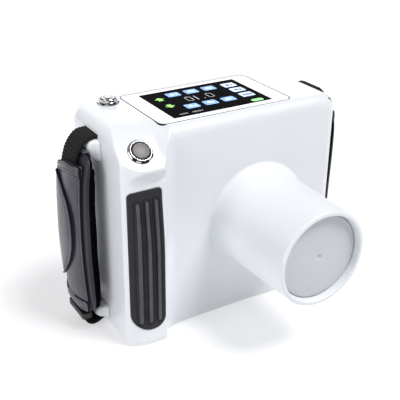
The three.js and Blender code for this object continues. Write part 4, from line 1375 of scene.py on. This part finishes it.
def make_tab(side):
    """Leather tongue that ties the top of the lining to the upper lug."""
    route, marks = smooth_path([(88.6, 122), (88.6, 125.6), (89.5, 127.0), (91.2, 127.2), (92.4, 126.6)], 0.4)
    return band("strap_tab_" + SIDE_NAMES[side], route, marks, 4.5, 0.55, side, middle_y=STRAP_FRONT_Y + 9.5)


def bevelled(made, width, segments=3, sharp_degrees=40):
    step = made.modifiers.new("bevel", "BEVEL")
    step.width = width * MM
    step.segments = segments
    step.limit_method = "ANGLE"
    step.angle_limit = math.radians(30)
    bake_modifiers(made)
    finish_shading(made.data, sharp_degrees)
    return made


def make_slider(side):
    """Flat buckle frame round the webbing below the lining."""
    name = "strap_slider_" + SIDE_NAMES[side]
    low, high = node_box(name)
    outer = rounded_outline(low[0], high[0], low[1], high[1], 1.2, 6)
    made = prism(name, outer, low[2], high[2])
    half_gap = WEBBING_THICKNESS / 2 + FIT
    x0, x1 = sorted((side * (WEBBING_X - half_gap), side * (WEBBING_X + half_gap)))
    hole = WEBBING_WIDTH / 2 + FIT
    apply_boolean(made, block("hole", (x0, STRAP_Y - hole, low[2] - 2), (x1, STRAP_Y + hole, high[2] + 2)))
    return bevelled(made, 0.5)


LUG_X = HALF_WIDTH + FIT
# Sections of each lug from the wall outward: (outward, lowest z, highest z).
UPPER_LUG = [
    (LUG_X, UPPER_SLOT_Z - 14.4, UPPER_SLOT_Z - 1.1), (84.6, UPPER_SLOT_Z - 13.6, UPPER_SLOT_Z - 1.3),
    (86.8, UPPER_SLOT_Z - 12.6, UPPER_SLOT_Z - 2.0), (88.3, UPPER_SLOT_Z - 11.4, UPPER_SLOT_Z - 3.6)]
LOWER_LUG = [
    (LUG_X, LOWER_SLOT_Z + 1.3, LOWER_SLOT_Z + 11.4), (84.6, LOWER_SLOT_Z + 1.3, LOWER_SLOT_Z + 9.6),
    (87.0, LOWER_SLOT_Z + 1.5, LOWER_SLOT_Z + 8.4), (88.8, LOWER_SLOT_Z + 2.8, LOWER_SLOT_Z + 7.0)]
LUG_FLARE = 4.6  # the lug spreads forward and back by this much where it meets the wall


def make_lug(side, place, sections):
    """A wedge under the webbing whose front and rear flare into the wall."""
    name = "strap_lug_" + SIDE_NAMES[side] + "_" + place
    half = WEBBING_WIDTH / 2 + 0.8
    marks = np.linspace(0, 1, 12)
    outs, lows, highs = (np.interp(marks, np.linspace(0, 1, len(sections)), [row[k] for row in sections])
                         for k in range(3))
    outlines = []
    for mark, out, low, high in zip(marks, outs, lows, highs):
        width = half + LUG_FLARE * (1 - mark) ** 2.4 - 0.9 * mark ** 6
        outline = rounded_outline(STRAP_Y - width, STRAP_Y + width, low, high, 1.8, 6)
        outlines.append([(out, y, z) for y, z in outline])
    outlines.append([(outs[-1] + 0.5, STRAP_Y + (y - STRAP_Y) * 0.94, (z - lows[-1]) * 0.8 + lows[-1] + 0.5)
                     for _, y, z in outlines[-1]])
    points = [point for outline in outlines for point in outline]
    return tube_object(name, points, len(outlines), len(outlines[0]), side)


# ---- stitching ----
def read_line(line, run, marks):
    """Points of a line at the given lengths along it; run holds the length reached at each point."""
    return np.stack([np.interp(marks, run, line[:, k]) for k in range(line.shape[1])], axis=1)


def length_along(line):
    return np.concatenate([[0], np.cumsum(np.linalg.norm(np.diff(line, axis=0), axis=1))])


def spots_along(line, pitch):
    """Even pairs of start and end points of stitches along a line of points."""
    run = length_along(line)
    starts = np.arange(pitch * 0.5, run[-1] - pitch, pitch)
    ends = starts + pitch * 0.72
    return [read_line(line, run, marks) for marks in (starts, ends)]


def stitch_row(grid, front, z, set_back, pitch=2.7):
    """Stitches on a strap face, a set distance behind its front edge, over the heights in z."""
    line = []
    for height, edge in zip(z, front):
        row = int(np.argmin(np.abs(grid[:, 0, 2] + top_drop(grid[:, 0, 1], height) - height)))
        y = edge + set_back
        line.append((np.interp(y, grid[row, :, 1], grid[row, :, 0]), y, height - top_drop(y, height)))
    return spots_along(np.array(line), pitch)


def stitch_across(grid, height, y0, y1, pitch=2.7):
    row = int(np.argmin(np.abs(grid[:, 0, 2] - height)))
    y = np.linspace(y0, y1, 40)
    out, z = (np.interp(y, grid[row, :, 1], grid[row, :, k]) for k in (0, 2))
    return spots_along(np.stack([out, y, z], axis=1), pitch)


def make_stitches(name, rows, side):
    """One mesh of every thread stitch on a strap: a short spindle that dips into the leather at both ends."""
    points, faces = [], []
    stations, around = 7, 6
    for starts, ends in rows:
        for start, end in zip(starts, ends):
            along = (end - start) / np.linalg.norm(end - start)
            out = np.array([1.0, 0, 0]) - along * along[0]
            out /= np.linalg.norm(out)
            beside = np.cross(along, out)
            base = len(points)
            for i in range(stations):
                t = i / (stations - 1)
                swell = math.sin(math.pi * (0.08 + 0.84 * t))
                centre = start + (end - start) * t + out * (0.16 * swell - 0.1)
                for k in range(around):
                    angle = 2 * math.pi * k / around
                    points.append(centre + 0.28 * swell * (math.cos(angle) * out + math.sin(angle) * beside))
            for i in range(stations - 1):
                for k in range(around):
                    m = (k + 1) % around
                    a, b = base + i * around, base + (i + 1) * around
                    faces.append([a + k, a + m, b + m, b + k])
            last = base + (stations - 1) * around
            faces.append([base + k for k in range(around)][::-1])
            faces.append([last + k for k in range(around)])
    made = object_from(name, mirrored(points, side), faces, 70)
    turn_outward(made)
    return made


def cover_stitches(cover, flap):
    """Double rows on both hems and along the flap's swept edge, and one row down the front edge."""
    y0, y1 = STRAP_FRONT_Y + 2.5, STRAP_REAR_Y - 2.5
    hem_heights = (COVER_TOP_Z - 1.8, COVER_TOP_Z - TOP_HEM + 1.4, COVER_BOTTOM_Z + 1.8,
                   COVER_BOTTOM_Z + BOTTOM_HEM - 1.4)
    rows = [stitch_across(cover, height, y0, y1) for height in hem_heights]
    z = np.linspace(COVER_BOTTOM_Z + BOTTOM_HEM + 1, COVER_TOP_Z - TOP_HEM - 1, 120)
    rows.append(stitch_row(cover, cover_span(z)[0], z, 2.6))
    z = np.linspace(FLAP_BOTTOM_Z + 2, FLAP_TOP_Z - 2, 120)
    for set_back in (2.4, 4.8):
        rows.append(stitch_row(flap, flap_span(z)[0], z, set_back))
    return rows


# ---- assembly ----
def place_piece(made, material, node, body):
    """Dresses a piece, fastens it to its body and lets it stand for its CAD node."""
    if material is not None:
        dress(made, material)
    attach(made, body)
    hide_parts(node)


grip_pad = make_grip_pad()
skin = body_skin()
housing = make_housing(skin)
cut_grip_seat(housing)
rear_cover = make_rear_cover(skin)
bpy.data.objects.remove(skin)
place_piece(grip_pad, None, "grip_pad", "body")
place_piece(housing, WHITE, "housing", "body")
place_piece(rear_cover, WHITE, "rear_cover", "body")
place_piece(make_cone(), CONE_WHITE, "beam_cone", "body")
place_piece(make_aperture_disc(), GREY_PLASTIC, "aperture_disc", "body")
place_piece(make_window(), None, "display_window", "body")
make_screen()
for button, ring_r, cap_r, ring_crown, crown, place, cap_finish in (
        ("exposure_button", EXPOSE_RING_R, EXPOSE_CAP_R, low_crown, 2.2, EXPOSE_PLACE, (CAP_SATIN,)),
        ("power_button", POWER_RING_R, POWER_CAP_R, stepped_crown, 3.6, POWER_PLACE, (CHROME, PAINTED_SHADE_AND_REFLECTION))):
    ring = make_ring(button + "_ring", ring_r, cap_r, ring_crown(ring_r, cap_r), place)
    place_piece(ring, None, button + "_ring", "body")
    cap = make_cap(button + "_cap", cap_r, crown, place)
    dress(cap, *cap_finish)
    # The power cap's concentric groove is not modelled; its shade is painted as a dark annulus.
    if len(cap_finish) > 1:
        paint_groove_shade(cap, place, 0.48 * cap_r, 0.62 * cap_r)
    place_piece(cap, None, button + "_cap", button)
place_piece(make_socket(), DARK_PLASTIC, "charging_socket", "body")
for index, (x, z) in enumerate(SCREW_SPOTS):
    screw = "rear_screw_" + str(index + 1)
    place_piece(make_screw(index, x, z), SATIN, screw, "body")

for side, phase in ((-1, 0.6), (1, 2.3)):
    label = SIDE_NAMES[side]
    pad = make_pad(side, phase)
    cover, cover_face = make_cover(side, phase)
    flap, flap_face = make_flap(side, phase)
    place_piece(pad, None, "strap_pad_" + label, "body")
    place_piece(cover, None, "strap_cover_" + label, "body")
    place_piece(flap, None, "strap_flap_" + label, "body")
    place_piece(make_webbing(side), WEBBING_CLOTH, "strap_webbing_" + label, "body")
    place_piece(make_tab(side), LEATHER, "strap_tab_" + label, "body")
    place_piece(make_slider(side), DARK_PLASTIC, "strap_slider_" + label, "body")
    for spot, outline in (("top", UPPER_LUG), ("bottom", LOWER_LUG)):
        lug_name = "strap_lug_" + label + "_" + spot
        place_piece(make_lug(side, spot, outline), WHITE, lug_name, "body")
    stitches = make_stitches("strap_stitches_" + label, cover_stitches(cover_face, flap_face), side)
    dress(stitches, THREAD)
    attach(stitches, "body")

# Hidden pieces keep their CAD shape and only get a finish.
INTERNAL_FINISHES = {
    "lcd_module": DISPLAY_BLACK, "display_board": BOARD_GREEN, "high_voltage_board": BOARD_GREEN,
    "main_board": BOARD_GREEN, "exposure_switch": DARK_PLASTIC, "power_switch": DARK_PLASTIC,
    "battery_pack": DARK_PLASTIC, "cone_liner": LEAD, "collimator_plate": LEAD, "tube_head_case": ALUMINIUM,
    "tube_head_lid": ALUMINIUM, "aluminium_filter": ALUMINIUM, "xray_tube": GLASS,
    "strap_pin_left_top": SATIN, "strap_pin_left_bottom": SATIN, "strap_pin_right_top": SATIN,
    "strap_pin_right_bottom": SATIN}
for node, finish in INTERNAL_FINISHES.items():
    dress(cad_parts[node], finish)


# ---- studio ----
def make_floor():
    """A pale floor that glows a little, so that it stays white behind the unit."""
    floor = prism("floor", [(-6000, -4000), (6000, -4000), (6000, 9000), (-6000, 9000)], -20, 0)
    nodes = Nodes("floor")
    cloudy = nodes.noise(3, 2)
    tint = nodes.ramp(cloudy, [(0.3, srgb(186, 186, 187)), (0.7, srgb(190, 190, 191))])
    dress(floor, nodes.finish(Base_Color=tint, Roughness=0.9, Emission_Color=tint, Emission_Strength=0.95))


def soft_sun(toward, spread_degrees, strength):
    """A broad, even light from far away; toward points from the unit to the light."""
    data = bpy.data.lights.new("soft_sun", "SUN")
    data.energy = strength
    data.angle = math.radians(spread_degrees)
    lamp = new_object("soft_sun", data)
    lamp.rotation_euler = Vector(toward).to_track_quat("Z", "Y").to_euler()


def soft_light(name, place, size, power, aim=(0, 20, 70)):
    data = bpy.data.lights.new(name, "AREA")
    data.shape = "RECTANGLE"
    data.size, data.size_y = size
    data.energy = power
    lamp = new_object(name, data)
    lamp.location = Vector(place) * MM
    toward = Vector(aim) * MM - lamp.location
    lamp.rotation_euler = toward.to_track_quat("-Z", "Y").to_euler()


def make_camera():
    """Camera at the three-quarter angle from the front left, a little above the unit."""
    data = bpy.data.cameras.new("camera")
    data.lens = 69.37
    data.sensor_width = 36
    data.clip_end = 20
    camera = new_object("camera", data)
    turn, pitch, roll = (math.radians(v) for v in (31.37, 26.56, 0.56))
    forward = Vector((math.sin(turn) * math.cos(pitch), math.cos(turn) * math.cos(pitch), -math.sin(pitch)))
    right = Vector((math.cos(turn), -math.sin(turn), 0))
    up = right.cross(forward)
    tilted_right = math.cos(roll) * right + math.sin(roll) * up
    tilted_up = -math.sin(roll) * right + math.cos(roll) * up
    axes = Matrix((tilted_right, tilted_up, -forward)).transposed()
    camera.matrix_world = Matrix.Translation(Vector((-253.4, -376.6, 308.6)) * MM) @ axes.to_4x4()
    bpy.context.scene.camera = camera


def make_world():
    world = bpy.data.worlds.new("studio")
    world.use_nodes = True
    background = world.node_tree.nodes["Background"]
    background.inputs["Color"].default_value = (0.97, 0.985, 1, 1)
    background.inputs["Strength"].default_value = 0.25
    bpy.context.scene.world = world


make_floor()
make_world()
make_camera()
soft_sun((0.32, -0.35, 0.88), 26, 3.1)
soft_light("left_panel", (-780, -100, 300), (0.5, 0.9), 3.8)
soft_light("back_panel", (350, 900, 480), (1.2, 0.7), 2.8)
soft_light("right_panel", (560, -520, 620), (0.35, 0.8), 0.3)
bpy.context.scene.view_settings.view_transform = "Standard"
